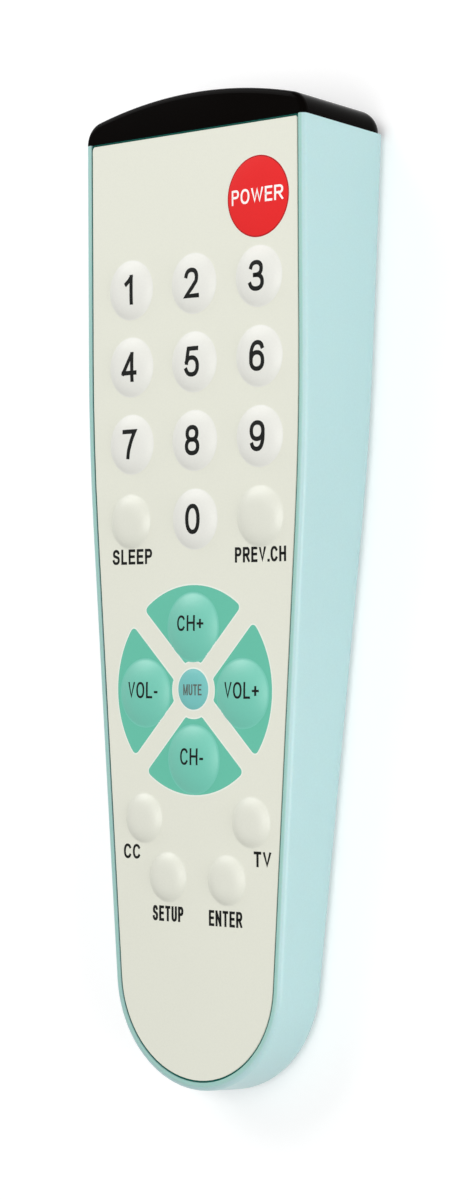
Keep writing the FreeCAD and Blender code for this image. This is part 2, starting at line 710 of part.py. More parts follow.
def key_panel():
    """The cream panel with its key holes and the screw bosses beneath."""
    owner = face_body("key_panel")
    plate = sketch(owner, label="Outline")
    case_outline(plate, S.rim_width + S.groove, PANEL_HEAD / COS_TILT, COS_TILT)
    pad(plate, S.panel_thick, down=True)

    def corner(edge):
        return level(edge, "y", (PANEL_HEAD / COS_TILT).value) and abs(edge.BoundBox.XLength) < 0.01

    def upper_edge(edge):
        return level(edge, "z", 0)

    round_edges(owner, S.panel_corner, corner, "Corners")
    round_edges(owner, S.panel_edge, upper_edge, "UpperEdge")
    holes = sketch(owner, label="KeyHoles")
    for label, across, along, radius, crown in KEYS:
        circle(holes, across, along, radius + S.key_gap)
    pocket(holes)
    bosses = sketch(owner, offset=-S.panel_thick, label="Bosses")
    pins = sketch(owner, offset=-S.board_depth, label="Pins")
    pilots = sketch(owner, offset=-(S.board_depth + PIN_LENGTH), label="Pilots")
    for across, along in SCREWS.values():
        circle(bosses, across, along, S.boss_radius)
        circle(pins, across, along, S.pin_radius)
        circle(pilots, across, along, S.screw_radius + S.pilot_gap)
    pad(bosses, S.board_depth - S.panel_thick, down=True)
    pad(pins, PIN_LENGTH, down=True)
    pocket(pilots, S.board_depth + PIN_LENGTH - S.panel_thick, up=True)
    return owner


def infrared_window():
    """The black window that closes the head: a bowed front with a hollow tongue."""
    owner = body("infrared_window")
    plan = sketch(owner, label="Outline")
    window_outline(plan)
    pad(plan, S.mid_height + TOP_SPARE)
    above_face(owner, RIM_LEVEL, "FaceCut")

    def upper_edge(edge):
        return on_face(edge, RIM_LEVEL) and not level(edge, "y", JOINT.value)

    def back_edge(edge):
        return level(edge, "z", 0) and not level(edge, "y", JOINT.value)

    round_edges(owner, S.rim_edge, upper_edge, "FaceEdge")
    round_edges(owner, S.window_back_edge, back_edge, "BackEdge")
    outer_width = S.port_width - S.tongue_gap * 2
    outer_height = S.port_height - S.tongue_gap * 2
    inner_width = outer_width - S.tongue_wall * 2
    inner_height = outer_height - S.tongue_wall * 2
    tongue = sketch(owner, "XZ_Plane", offset=-JOINT, label="Tongue")
    box(tongue, 0, EMITTER_HEIGHT, outer_width, outer_height)
    pad(tongue, S.tongue_length)
    hollow = sketch(owner, "XZ_Plane", offset=S.tongue_length - JOINT, label="Hollow")
    box(hollow, 0, EMITTER_HEIGHT, inner_width, inner_height)
    pocket(hollow, S.tongue_length + S.window_hollow)
    return owner


def window_outline(drawn):
    """Draw the window's plan: straight joint, short sides, round corners, bowed front."""
    half = HALF_WIDTH
    bow_middle = APEX - S.window_bow
    reach = S.window_bow - S.window_corner
    corner_x = (half - S.window_corner).value
    rise = math.sqrt(reach.value ** 2 - corner_x ** 2)
    corner_y = bow_middle.value + rise
    lean = math.atan2(rise, corner_x)
    up = Vector(0, 0, 1)
    bow = Part.Circle(Vector(0, bow_middle.value, 0), up, S.window_bow.value)
    corner = S.window_corner.value
    right_ring = Part.Circle(Vector(corner_x, corner_y, 0), up, corner)
    left_ring = Part.Circle(Vector(-corner_x, corner_y, 0), up, corner)
    add = drawn.addGeometry
    low_right = Vector(half.value, JOINT.value, 0)
    low_left = Vector(-half.value, JOINT.value, 0)
    top_right = Vector(half.value, corner_y, 0)
    top_left = Vector(-half.value, corner_y, 0)
    base = add(Part.LineSegment(low_left, low_right), False)
    right = add(Part.LineSegment(low_right, top_right), False)
    right_corner = add(Part.ArcOfCircle(right_ring, 0, lean), False)
    front = add(Part.ArcOfCircle(bow, lean, math.pi - lean), False)
    left_corner = add(Part.ArcOfCircle(left_ring, math.pi - lean, math.pi), False)
    left = add(Part.LineSegment(top_left, low_left), False)
    rule = Sketcher.Constraint
    drawn.addConstraint(rule("Coincident", base, 2, right, 1))
    drawn.addConstraint(rule("Coincident", left, 2, base, 1))
    chain = [right, right_corner, front, left_corner, left]
    for first, second in zip(chain, chain[1:]):
        drawn.addConstraint(rule("Tangent", first, 2, second, 1))
    drawn.addConstraint(rule("Vertical", right))
    drawn.addConstraint(rule("Vertical", left))
    fix_point(drawn, base, 1, -half, JOINT)
    fix_point(drawn, base, 2, half, JOINT)
    fix_point(drawn, front, 3, 0, bow_middle)
    fix(drawn, "Radius", (front,), S.window_bow)
    fix(drawn, "Radius", (right_corner,), S.window_corner)
    fix(drawn, "Radius", (left_corner,), S.window_corner)


# Keys

def key(label, across, along, radius, crown):
    """One key: domed cap, flange under the panel, rubber hub and carbon pill."""
    owner = face_body(label, across, along)
    flange_top = S.panel_thick + S.flange_play
    flange_under = flange_top + S.flange_thick
    pill_under = S.board_depth - S.key_travel - S.pill_gap
    pill_top = pill_under - S.pill_thick
    flange = radius + S.flange_over
    profile = sketch(owner, "XZ_Plane", label="Profile")
    corners = [
        (size(0), crown),
        (size(0), -pill_under),
        (S.pill_radius, -pill_under),
        (S.pill_radius, -pill_top),
        (S.hub_radius, -pill_top),
        (S.hub_radius, -flange_under),
        (flange, -flange_under),
        (flange, -flange_top),
        (radius, -flange_top),
        (radius, size(0)),
    ]
    spots = [Vector(x.value, y.value, 0) for x, y in corners]
    add = profile.addGeometry
    rule = Sketcher.Constraint
    edges = [add(Part.LineSegment(a, b), False) for a, b in zip(spots, spots[1:])]
    ball = (radius.value ** 2 + crown.value ** 2) / (2 * crown.value)
    middle = Vector(0, crown.value - ball, 0)
    start = math.atan2(spots[-1].y - middle.y, radius.value)
    dome = add(Part.ArcOfCircle(Part.Circle(middle, Vector(0, 0, 1), ball), start, math.pi / 2),
               False)
    for first, second in zip(edges, edges[1:]):
        profile.addConstraint(rule("Coincident", first, 2, second, 1))
    profile.addConstraint(rule("Coincident", edges[-1], 2, dome, 1))
    profile.addConstraint(rule("Coincident", dome, 2, edges[0], 1))
    profile.addConstraint(rule("PointOnObject", dome, 3, -2))
    for edge, (x, y) in zip(edges, corners):
        fix_point(profile, edge, 1, x, y)
    fix_point(profile, edges[-1], 2, *corners[-1])
    spin(profile)
    return owner


def spin(drawn, axis="Z_Axis", angle=360):
    """Turn a sketch about one of its body's axes."""
    owner = drawn.getParentGeoFeatureGroup()
    made = owner.newObject("PartDesign::Revolution", drawn.Label + "Turned")
    made.Profile = drawn
    line = [item for item in owner.Origin.OriginFeatures if item.Role == axis][0]
    made.ReferenceAxis = (line, [""])
    made.Angle = angle
    return made


# Mat and board

def key_mat():
    """The rubber mat on the board, open round every hub and boss."""
    owner = face_body("key_mat")
    sheet = sketch(owner, offset=-S.board_depth, label="Outline")
    case_outline(sheet, WALL + S.board_gap, FACE_JOINT - S.mat_head, COS_TILT)
    for label, across, along, radius, crown in KEYS:
        circle(sheet, across, along, S.hub_radius + S.mat_hole_gap)
    for across, along in SCREWS.values():
        circle(sheet, across, along, S.boss_radius + S.mat_hole_gap)
    pad(sheet, S.mat_thick)
    return owner


def circuit_board():
    """The circuit board, pierced for the panel's pins."""
    owner = face_body("circuit_board")
    plate = sketch(owner, offset=-S.board_depth, label="Outline")
    case_outline(plate, WALL + S.board_gap, FACE_JOINT - S.board_head, COS_TILT)
    for across, along in SCREWS.values():
        circle(plate, across, along, S.pin_radius + S.pin_gap)
    pad(plate, S.board_thick, down=True)
    return owner


def controller_chip():
    """The controller under the board, with legs down both sides."""
    owner = face_body("controller_chip", 0, CHIP_PLACE)
    top = BOARD_UNDER + S.rest_gap
    block = sketch(owner, offset=-top, label="Block")
    box(block, 0, 0, S.chip_length, S.chip_width)
    pad(block, S.chip_thick, down=True)
    legs = sketch(owner, offset=-top, label="Legs")
    for step in (-2, -1, 0, 1, 2):
        box(legs, S.pin_pitch * step, 0, S.leg_width, S.chip_width + S.leg_reach * 2)
    pad(legs, S.leg_width, down=True)
    return owner


def resonator():
    """The resonator beside the controller."""
    owner = face_body("resonator", 0, CHIP_PLACE + S.crystal_along)
    block = sketch(owner, offset=-(BOARD_UNDER + S.rest_gap), label="Block")
    box(block, 0, 0, S.crystal_length, S.crystal_width)
    pad(block, S.crystal_thick, down=True)
    return owner


def capacitor():
    """The capacitor lying against the board's underside."""
    owner = face_body("capacitor", 0, CHIP_PLACE - S.can_along)
    middle = BOARD_UNDER + S.rest_gap + S.can_radius
    end = sketch(owner, "YZ_Plane", offset=-S.can_length / 2, label="End")
    circle(end, 0, -middle, S.can_radius)
    pad(end, S.can_length)
    return owner


def emitter(label, side):
    """An infrared emitter: base, lens and two leads to the board's underside."""
    owner = body(label, S.emitter_across * side, EMITTER_PLACE, EMITTER_HEIGHT)
    base = sketch(owner, "XZ_Plane", label="Base")
    circle(base, 0, 0, S.emitter_flange)
    pad(base, S.emitter_collar, down=True)
    lens = sketch(owner, "XZ_Plane", label="Lens")
    circle(lens, 0, 0, S.emitter_radius)
    pad(lens, S.emitter_length, down=True)

    def dome_edge(edge):
        return level(edge, "y", S.emitter_length.value)

    round_edges(owner, S.emitter_radius - S.emitter_tip, dome_edge, "Dome")
    rise = S.emitter_drop - S.rest_gap * 2 - S.lead_width * TAN_TILT * 4
    leads = sketch(owner, "YZ_Plane", offset=S.lead_span - S.lead_width / 2, label="LeadOne")
    others = sketch(owner, "YZ_Plane", offset=-S.lead_span - S.lead_width / 2, label="LeadTwo")
    for drawn in (leads, others):
        low = -S.lead_width / 2
        back = S.lead_width * 4
        polygon(drawn, [(size(0.2), low), (-back, low), (-back, rise),
                        (-back + S.lead_width, rise), (-back + S.lead_width, -low),
                        (size(0.2), -low)])
        pad(drawn, S.lead_width)
    return owner


# Battery bay

def cell(label, side):
    """A battery cell. Its button points to the head on the left, to the tail on the right."""
    owner = body(label, CELL_ACROSS * side, BAY_MIDDLE, CELL_HEIGHT)
    flat = sketch(owner, "XZ_Plane", label="Can")
    middle = CELL_MIDDLE * -side
    facing = size(-side)
    flat_bottom = middle - facing * CELL_LENGTH / 2
    bind(flat, "AttachmentOffset.Base.z", -flat_bottom)
    circle(flat, 0, 0, CELL_RADIUS)
    pad(flat, CELL_LENGTH, down=side < 0)

    def can_edge(edge):
        return isinstance(edge.Curve, Part.Circle)

    round_edges(owner, S.cell_shoulder, can_edge, "Shoulder")
    button = sketch(owner, "XZ_Plane", label="Button")
    bind(button, "AttachmentOffset.Base.z", -(middle + facing * CELL_LENGTH / 2 - facing * 0.2))
    circle(button, 0, 0, S.button_radius)
    pad(button, S.button_height + 0.2, down=side < 0)
    return owner


def contact_plate(label, side, dimple):
    """A head contact: plate on the bay's wall with a tab up to the board."""
    owner = body(label, CELL_ACROSS * side, BAY_HEAD, CELL_HEIGHT)
    plate = sketch(owner, "XZ_Plane", label="Plate")
    box(plate, 0, 0, CONTACT_SPAN, CONTACT_SPAN)
    pad(plate, S.contact_thick)
    tab = sketch(owner, "XZ_Plane", label="Tab")
    top = board_level(BAY_HEAD) - CELL_HEIGHT - S.rest_gap * 2
    base = CONTACT_SPAN / 2 - 1
    box(tab, 0, (top + base) / 2, S.tab_width, top - base)
    pad(tab, S.contact_thick)
    if dimple:
        bump = sketch(owner, "XZ_Plane", label="Dimple")
        circle(bump, 0, 0, S.button_radius - S.dimple_inset)
        pad(bump, S.contact_thick + S.contact_dimple)
    return owner


def contact_bridge():
    """The tail contact that joins both cells."""
    owner = body("contact_bridge", 0, BAY_TAIL, CELL_HEIGHT)
    plate = sketch(owner, "XZ_Plane", label="Plate")
    box(plate, 0, 0, CELL_ACROSS * 2 + CONTACT_SPAN, CONTACT_SPAN)
    pad(plate, S.contact_thick, down=True)
    bump = sketch(owner, "XZ_Plane", label="Dimple")
    circle(bump, CELL_ACROSS, 0, S.button_radius - S.dimple_inset)
    pad(bump, S.contact_thick + S.contact_dimple, down=True)
    return owner


def contact_spring(label, side):
    """A conical contact spring from its plate to the flat end of a cell."""
    made = DOC.addObject("Part::Feature", label)
    made.Label = label
    wire = S.wire_radius.value
    height = S.coil_length.value - 2 * wire
    halves = round(S.coil_turns.value * 2)
    # The coil is a chain of half circles, each one smaller and nearer to the cell
    ends = []
    for half in range(halves + 1):
        share = half / halves
        radius = S.coil_base.value + (S.coil_tip.value - S.coil_base.value) * share
        ends.append(Vector(radius * (-1) ** half, 0, height * share))
    arcs = []
    for half in range(halves):
        first, last = ends[half], ends[half + 1]
        reach = (last - first).Length / 2
        top = (first + last) / 2 + Vector(0, reach * (-1) ** half, 0)
        arcs.append(Part.Arc(first, top, last).toShape())
    section = Part.Wire([Part.makeCircle(wire, ends[0], Vector(0, 1, 0))])
    made.Shape = Part.Wire(arcs).makePipeShell([section], True, True)
    made.Placement = Placement(Vector(0, 0, 0), Rotation(Vector(1, 0, 0), -90 if side < 0 else 90))
    start_at = (BAY_TAIL + S.contact_thick) if side < 0 else (BAY_HEAD - S.contact_thick)
    inward = S.wire_radius + S.coil_gap
    bind(made, "Placement.Base.x", CELL_ACROSS * side)
    bind(made, "Placement.Base.y", start_at + inward * -side)
    bind(made, "Placement.Base.z", CELL_HEIGHT)
    return made


# Battery door

def battery_door():
    """The door in the back, with its lip, ribs and gasket groove."""
    owner = body("battery_door")
    plate = sketch(owner, offset=S.door_sunk, label="Outline")
    rounded_box(plate, BAY_MIDDLE, S.bay_width + S.door_side * 2 - S.door_gap * 2,
                S.bay_length + S.door_end * 2 - S.door_gap * 2, S.door_corner)
    pad(plate, S.door_thick)
    inner = DOOR_TOP
    lip_width = S.bay_width - S.lip_gap * 2
    lip_length = S.bay_length - S.lip_gap * 2
    lip = sketch(owner, offset=inner, label="Lip")
    box(lip, 0, BAY_MIDDLE, lip_width, lip_length)
    box(lip, 0, BAY_MIDDLE, lip_width - S.lip_thick * 2, lip_length - S.lip_thick * 2)
    pad(lip, S.lip_height)
    ribs = sketch(owner, offset=inner, label="Ribs")
    for step in (-1, 0, 1):
        box(ribs, 0, BAY_MIDDLE + S.rib_pitch * step, lip_width - S.lip_thick, S.lip_thick)
    pad(ribs, S.lip_height)
    groove = sketch(owner, offset=inner, label="Groove")
    gasket_ring(groove)
    pocket(groove, S.gasket_groove)
    holes = sketch(owner, offset=S.door_sunk, label="Holes")
    for along in door_screw_places():
        circle(holes, 0, along, S.screw_radius + S.screw_clear)
    pocket(holes, up=True)
    sinks = sketch(owner, offset=S.door_sunk, label="HeadSinks")
    for along in door_screw_places():
        circle(sinks, 0, along, S.head_radius + S.screw_clear)
    pocket(sinks, S.door_head_thick, up=True)
    return owner


def gasket_ring(drawn):
    """Draw the gasket's ring round the bay."""
    inner_width = S.bay_width + S.gasket_inset * 2
    inner_length = S.bay_length + S.gasket_inset * 2
    box(drawn, 0, BAY_MIDDLE, inner_width, inner_length)
    box(drawn, 0, BAY_MIDDLE, inner_width + S.gasket_width * 2,
        inner_length + S.gasket_width * 2)


def door_gasket():
    """The foam gasket in the door's groove."""
    owner = body("door_gasket")
    ring = sketch(owner, offset=DOOR_TOP - S.gasket_groove, label="Ring")
    gasket_ring(ring)
    pad(ring, S.door_recess - DOOR_TOP + S.gasket_groove - S.gasket_play)
    return owner


def screw(owner, head_under, height, thread):
    """A screw pointing up: head below head_under, thread above, cross recess in the head."""
    head = sketch(owner, offset=head_under, label="Head")
    circle(head, 0, 0, S.head_radius)
    pad(head, height, down=True)
    shank = sketch(owner, offset=head_under, label="Thread")
    circle(shank, 0, 0, S.screw_radius)
    pad(shank, thread)
    recess = sketch(owner, offset=head_under - height, label="Recess")
    arm, slot = S.recess_span / 2, S.recess_slot / 2
    polygon(recess, [(arm, -slot), (arm, slot), (slot, slot), (slot, arm), (-slot, arm),
                     (-slot, slot), (-arm, slot), (-arm, -slot), (-slot, -slot), (-slot, -arm),
                     (slot, -arm), (slot, -slot)])
    pocket(recess, height / 2, up=True)
    return owner


def door_screw(label, along):
    """A captive screw in the battery door."""
    owner = body(label, 0, along)
    return screw(owner, S.door_sunk + S.door_head_thick, S.door_head_thick, S.door_screw_length)


def case_screw(label, across, along):
    """A screw from the back into one of the panel's bosses."""
    owner = face_body(label, across, along)
    seat = BOARD_UNDER + S.socket_depth + S.seat_thick
    return screw(owner, -seat, S.head_thick, S.screw_grip)


# Every sub-part

def build():
    """Make all sub-parts and return them."""
    made = [rear_case(), key_panel(), infrared_window()]
    for row in KEYS:
        made.append(key(*row))
    made += [key_mat(), circuit_board(), controller_chip(), resonator(), capacitor()]
    made += [emitter("emitter_left", -1), emitter("emitter_right", 1)]
    made += [cell("battery_left", -1), cell("battery_right", 1)]
    made.append(contact_plate("contact_positive", -1, dimple=True))
    made.append(contact_plate("contact_negative", 1, dimple=False))
    made.append(contact_bridge())
    made += [contact_spring("contact_spring_left", -1), contact_spring("contact_spring_right", 1)]
    made += [battery_door(), door_gasket()]
    tail_place, head_place = door_screw_places()
    made += [door_screw("door_screw_tail", tail_place), door_screw("door_screw_head", head_place)]
    for name, (across, along) in SCREWS.items():
        made.append(case_screw("case_screw_" + name, across, along))
    return made


def check(parts):
    """Stop if any object failed or any sub-part's shape is not one good solid."""
    DOC.recompute()
    for item in DOC.Objects:
        if "Invalid" in item.State or "Error" in item.State:
            raise RuntimeError(item.Label + " failed: " + str(item.State))
    for item in parts:
        if item.Shape.isNull() or not item.Shape.isValid():
            raise RuntimeError(item.Label + " has no valid shape")
        if len(item.Shape.Solids) != 1:
            raise RuntimeError(item.Label + " has %d solids" % len(item.Shape.Solids))
        if item.Shape.optimalBoundingBox().ZMin < -0.01:
            raise RuntimeError(item.Label + " reaches below the back")


def export(parts):
    """Write each sub-part to parts/, one file named after its label."""
    os.makedirs("parts", exist_ok=True)
    for item in parts:
        item.Shape.exportStep("parts/" + item.Label + ".step")
        limits = item.Shape.BoundBox
        print("%-24s volume %9.1f  y %7.2f %7.2f  z %6.2f %6.2f" % (
            item.Label, item.Shape.Volume, limits.YMin, limits.YMax, limits.ZMin, limits.ZMax))


PARTS = build()
check(PARTS)
export(PARTS)
print(len(PARTS), "sub-parts; tail radius", round(TAIL_RADIUS.value, 3))
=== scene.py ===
import json
import math

import bmesh
import bpy
from bpy.props import FloatProperty, FloatVectorProperty, PointerProperty
from mathutils import Matrix, Vector

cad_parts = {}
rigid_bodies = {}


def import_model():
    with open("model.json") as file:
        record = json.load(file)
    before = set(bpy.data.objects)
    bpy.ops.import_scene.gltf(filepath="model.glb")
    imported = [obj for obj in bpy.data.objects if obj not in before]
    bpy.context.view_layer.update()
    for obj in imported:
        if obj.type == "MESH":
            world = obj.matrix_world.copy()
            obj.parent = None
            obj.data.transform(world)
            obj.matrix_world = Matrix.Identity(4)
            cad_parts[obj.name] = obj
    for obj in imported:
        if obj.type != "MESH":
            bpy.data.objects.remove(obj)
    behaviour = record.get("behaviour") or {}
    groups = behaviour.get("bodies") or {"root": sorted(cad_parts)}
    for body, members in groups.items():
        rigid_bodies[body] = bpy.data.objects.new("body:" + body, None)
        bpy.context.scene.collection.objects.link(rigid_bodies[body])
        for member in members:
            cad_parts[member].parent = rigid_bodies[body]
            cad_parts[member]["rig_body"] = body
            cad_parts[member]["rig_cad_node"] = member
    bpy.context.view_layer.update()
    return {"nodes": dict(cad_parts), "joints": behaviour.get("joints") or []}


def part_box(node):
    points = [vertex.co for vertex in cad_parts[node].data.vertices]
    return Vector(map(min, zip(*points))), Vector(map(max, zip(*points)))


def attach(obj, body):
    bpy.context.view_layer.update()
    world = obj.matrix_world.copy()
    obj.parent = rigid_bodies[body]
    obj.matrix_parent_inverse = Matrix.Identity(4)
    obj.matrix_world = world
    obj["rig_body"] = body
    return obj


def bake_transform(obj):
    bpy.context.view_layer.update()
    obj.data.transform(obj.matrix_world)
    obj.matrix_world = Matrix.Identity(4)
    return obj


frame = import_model()

bl_info = {
    "name": "Television remote",
    "version": (1, 0, 0),
    "blender": (4, 5, 0),
    "location": "3D View > Sidebar > Remote",
    "description": "Face film, key domes, legends, finishes and stage for the remote's frame",
    "category": "Object",
}

# The remote lies on its back with its head towards +Y. Lengths are in metres.
# The key panel tilts, so pieces on it are modelled flat, in the face frame, and then laid on it.
# The face frame's origin lies above the row origin, and its Z = 0 is the panel's upper side.

MM = 0.001
TINY = 0.02 * MM
SHARP_ANGLE = math.radians(35)
POWER_PRESS = next(joint for joint in frame["joints"] if joint["name"] == "power_press")
PRESS = Vector(POWER_PRESS["axis"]).normalized()
NORMAL = -PRESS
TILT = math.atan2(PRESS.y, -PRESS.z)
PANEL_TOP = max(NORMAL.dot(v.co) for v in frame["nodes"]["key_panel"].data.vertices)
FACE = Matrix.Translation((0, 0, PANEL_TOP / NORMAL.z)) @ Matrix.Rotation(TILT, 4, "X")

DIGITS = ["digit_%d_key" % digit for digit in range(10)]
RING_KEYS = ["channel_up_key", "channel_down_key", "volume_down_key", "volume_up_key"]
SMALL_KEYS = ["captions_key", "source_key", "setup_key", "enter_key"]
WHITE_KEYS = DIGITS + ["sleep_key", "previous_channel_key"] + SMALL_KEYS

# The film isn't quite true to the keys: its domes for the digits lie to the right, and its ring
# lies to the left, is lower than the mute key and is turned
DIGIT_SHIFT = 0.4 * MM
RING_SHIFT = -0.25 * MM
RING_DROP = 0.15 * MM
RING_TURN = math.radians(0.8)
FILM_SHIFTS = {name: DIGIT_SHIFT for name in DIGITS + ["previous_channel_key"]}
FILM_SHIFTS.update({name: RING_SHIFT for name in RING_KEYS + ["mute_key"]})


def srgb(red, green, blue):
    """A colour written in 0 to 255 steps, as the linear values that Blender reads."""
    steps = [channel / 255 for channel in (red, green, blue)]
    return tuple(s / 12.92 if s <= 0.04045 else ((s + 0.055) / 1.055) ** 2.4 for s in steps)


def amount(name, description, default, **more):
    """A property that isn't negative."""
    return FloatProperty(name=name, description=description, default=default, min=0.0, **more)


def length(name, description, default):
    """A length property in metres, written here in millimetres."""
    return amount(name, description, default * MM, precision=5, unit="LENGTH")


def colour(name, description, default):
    """A colour property."""
    return FloatVectorProperty(name=name, description=description, default=default,
                               min=0.0, max=1.0, size=3, subtype="COLOR")


class RemoteFilm(bpy.types.PropertyGroup):
    """Sizes of the printed face film and its domes."""

    level: length("Film level", "Upper side of the film above the panel", 0.12)
    thickness: length("Film thickness", "Thickness of the film", 0.1)
    edge_gap: length("Edge gap", "Film's edge inside the panel's side", 0.22)
    dome: length("Dome", "Rise of a dome over a domed key", 1.0)
    flat_dome: length("Flat dome", "Rise of the power and mute domes", 0.45)
    dome_fillet: length("Dome fillet", "Half-width of the fillet at a dome's foot", 0.25)
    white_margin: length("White margin", "Flat film round a white dome", 0.7)
    power_margin: length("Power margin", "Flat film round the power dome", 0.6)
    mute_margin: length("Mute margin", "Flat film round the mute dome", 0.7)
    ring_margin: length("Ring margin", "Flat film round a channel or volume dome", 0.31)
    ring_lap: length("Ring lap", "Flat print under the edge of a channel or volume key", 0.2)
    ring_lift: length("Ring lift", "Channel and volume domes above the flat print", 0.008)
    pale_line: length("Pale line", "Unprinted line round the green print", 0.28)
    ring_outer: length("Ring outside", "Outer radius of the ring's sectors", 20.0)
    ring_inner: length("Ring inside", "Radius of the sectors' hollow inner ends", 5.55)
    ring_cross: length("Ring cross", "From a sector's side to the cross's diagonal", 2.15)
    ring_corner: length("Ring corner", "Rounding of a sector's outer corners", 1.0)
    ring_inner_corner: length("Ring inner corner", "Rounding of its inner corners", 0.6)
    # The groove's dark strip is painted shade: a dark piece laid where the deep groove falls
    # into shade.
    seal_width: length("Seal width", "Dark seal in the groove round the panel", 0.14)
    seal_gap: length("Seal gap", "Between the panel and the seal", 0.03)
    seal_sunk: length("Seal sunk", "Seal's upper side below the film", 0.16)
    seal_depth: length("Seal depth", "Height of the seal", 0.3)
    ink: length("Ink", "Upper side of the lettering above the film", 0.02)
    ink_depth: length("Ink depth", "Thickness of the lettering", 0.04)


class RemoteColours(bpy.types.PropertyGroup):
    """Colours of the remote."""

    case: colour("Case", "Case and battery door", srgb(178, 212, 213))
    # Painted shade: the darker tone laid on the case where it faces the way the panel does.
    rim: colour("Rim", "Case where it faces the way the panel does", srgb(159, 204, 195))
    film: colour("Film", "Cream ground of the film", srgb(229, 230, 216))
    line: colour("Pale line", "Line round the green print", srgb(237, 240, 230))
    white: colour("White", "Print of the digit keys", srgb(231, 231, 224))
    blank: colour("Blank", "Print of the white keys without a digit", srgb(226, 227, 214))
    green: colour("Green", "Print of the ring", srgb(99, 193, 167))
    green_dome: colour("Green domes", "Print of the ring's domes", srgb(100, 199, 176))
    mute: colour("Mute", "Print of the mute key", srgb(116, 194, 190))
    red: colour("Red", "Print of the power key", srgb(231, 45, 46))
    red_edge: colour("Red edge", "Rim of the power key", srgb(178, 30, 36))
    window: colour("Window", "Infrared window", srgb(7, 5, 4))
    # Painted shade: the dark colour of the strip in the groove and of the panel's side.
    seal: colour("Seal", "Seal in the groove", srgb(24, 108, 96))
    ink: colour("Ink", "Dark lettering", srgb(22, 24, 22))
    pale_ink: colour("Pale ink", "Lettering of the power key", srgb(252, 246, 244))
    mute_ink: colour("Mute ink", "Lettering of the mute key", srgb(96, 104, 98))


class RemoteStage(bpy.types.PropertyGroup):
    """Lamps, floor and camera."""

    world: amount("Surroundings", "Strength of the surroundings", 0.43)
    head: amount("Head lamp", "Lamp beyond the head, on the left", 3.6, unit="POWER")
    top: amount("Top lamp", "Lamp above", 2.5, unit="POWER")
    side: amount("Side lamp", "Lamp on the right", 4.0, unit="POWER")
    floor: colour("Floor", "Pale floor", srgb(243, 243, 243))
    lift: amount("Floor lift", "Brightness that the camera adds to the floor", 0.22)
    camera_lens: FloatProperty(name="Lens", description="Focal length", default=0.09325,
                               min=0.01, unit="CAMERA")


# Helpers for objects, selection and edit mode

def film():
    return bpy.context.scene.remote_film


def colours():
    return bpy.context.scene.remote_colours


def stage():
    return bpy.context.scene.remote_stage


def nothing_selected():
    """Leave edit mode and deselect all."""
    if bpy.context.mode != "OBJECT":
        bpy.ops.object.mode_set(mode="OBJECT")
    bpy.ops.object.select_all(action="DESELECT")


def activate(piece):
    """Make the piece the only selected object."""
    nothing_selected()
    piece.select_set(True)
    bpy.context.view_layer.objects.active = piece
    return piece


def edit(piece, kind="VERT"):
    """Enter edit mode on the piece with nothing selected in it."""
    activate(piece)
    bpy.ops.object.mode_set(mode="EDIT")
    bpy.ops.mesh.select_mode(type=kind)
    bpy.ops.mesh.select_all(action="DESELECT")


def done(name=None):
    """Leave edit mode, and name the piece."""
    bpy.ops.mesh.select_mode(type="VERT")
    bpy.ops.object.mode_set(mode="OBJECT")
    piece = bpy.context.active_object
    if name:
        piece.name = name
        piece.data.name = name
    return piece


def choose(kind, test):
    """In edit mode, select the vertices, edges or faces that test accepts."""
    bpy.ops.mesh.select_mode(type=kind)
    bpy.ops.mesh.select_all(action="DESELECT")
    drawn = bmesh.from_edit_mesh(bpy.context.active_object.data)
    drawn.normal_update()
    for item in {"VERT": drawn.verts, "EDGE": drawn.edges, "FACE": drawn.faces}[kind]:
        if test(item):
            item.select_set(True)
    drawn.select_flush(True)
    bmesh.update_edit_mesh(bpy.context.active_object.data)


def select_all():
    bpy.ops.mesh.select_all(action="SELECT")


def cut(at, way, clear=False):
    """In edit mode, cut the piece by a plane, and clear what lies beyond it if asked to."""
    select_all()
    bpy.ops.mesh.bisect(plane_co=at, plane_no=way, clear_outer=clear)


def drawn_spots():
    """In edit mode, the places of the piece's vertices."""
    return [vertex.co for vertex in bmesh.from_edit_mesh(bpy.context.active_object.data).verts]


def new_object(name, data):
    """A new object in the scene."""
    made = bpy.data.objects.new(name, data)
    bpy.context.scene.collection.objects.link(made)
    return made


def copy_of(piece, name):
    """A copy of the piece with its own mesh."""
    made = piece.copy()
    made.data = piece.data.copy()
    made.name = name
    made.data.name = name
    bpy.context.scene.collection.objects.link(made)
    return made


def apply_place(piece):
    """Apply the piece's place and turn to its mesh."""
    activate(piece)
    bpy.ops.object.transform_apply(location=True, rotation=True, scale=True)


def place(piece, matrix):
    """Move the piece by a matrix and apply that to its mesh."""
    activate(piece)
    piece.matrix_world = matrix @ piece.matrix_world
    apply_place(piece)
    return piece


def join_to(piece, others):
    """Join other pieces to a piece."""
    activate(piece)
    for other in others:
        other.select_set(True)
    bpy.ops.object.join()


def apply_modifier(piece, kind, **settings):
    """Add a modifier, set it and apply it."""
    activate(piece)
    added = piece.modifiers.new(kind.title(), kind)
    for name, value in settings.items():
        setattr(added, name, value)
    bpy.ops.object.modifier_apply(modifier=added.name)


def smooth(piece):
    """Shade the piece smooth, with its sharp edges kept."""
    activate(piece)
    bpy.ops.object.shade_smooth_by_angle(angle=SHARP_ANGLE)


def face_up(piece):
    """Turn every face of a flat piece upwards."""
    edit(piece)
    choose("FACE", lambda face: face.normal.z < 0)
    bpy.ops.mesh.flip_normals()
    done()


def give(piece, *finishes):
    """Set the piece's materials."""
    piece.data.materials.clear()
    for finish in finishes:
        piece.data.materials.append(finish)


def finish_faces(piece, number, test):
    """Give the faces that test accepts the piece's material of that number."""
    for polygon in piece.data.polygons:
        if test(polygon.center):
            polygon.material_index = number


# A key's vertices no further than this below the panel's upper side are its cap's.
CAP_DEPTH = 0.05 * MM


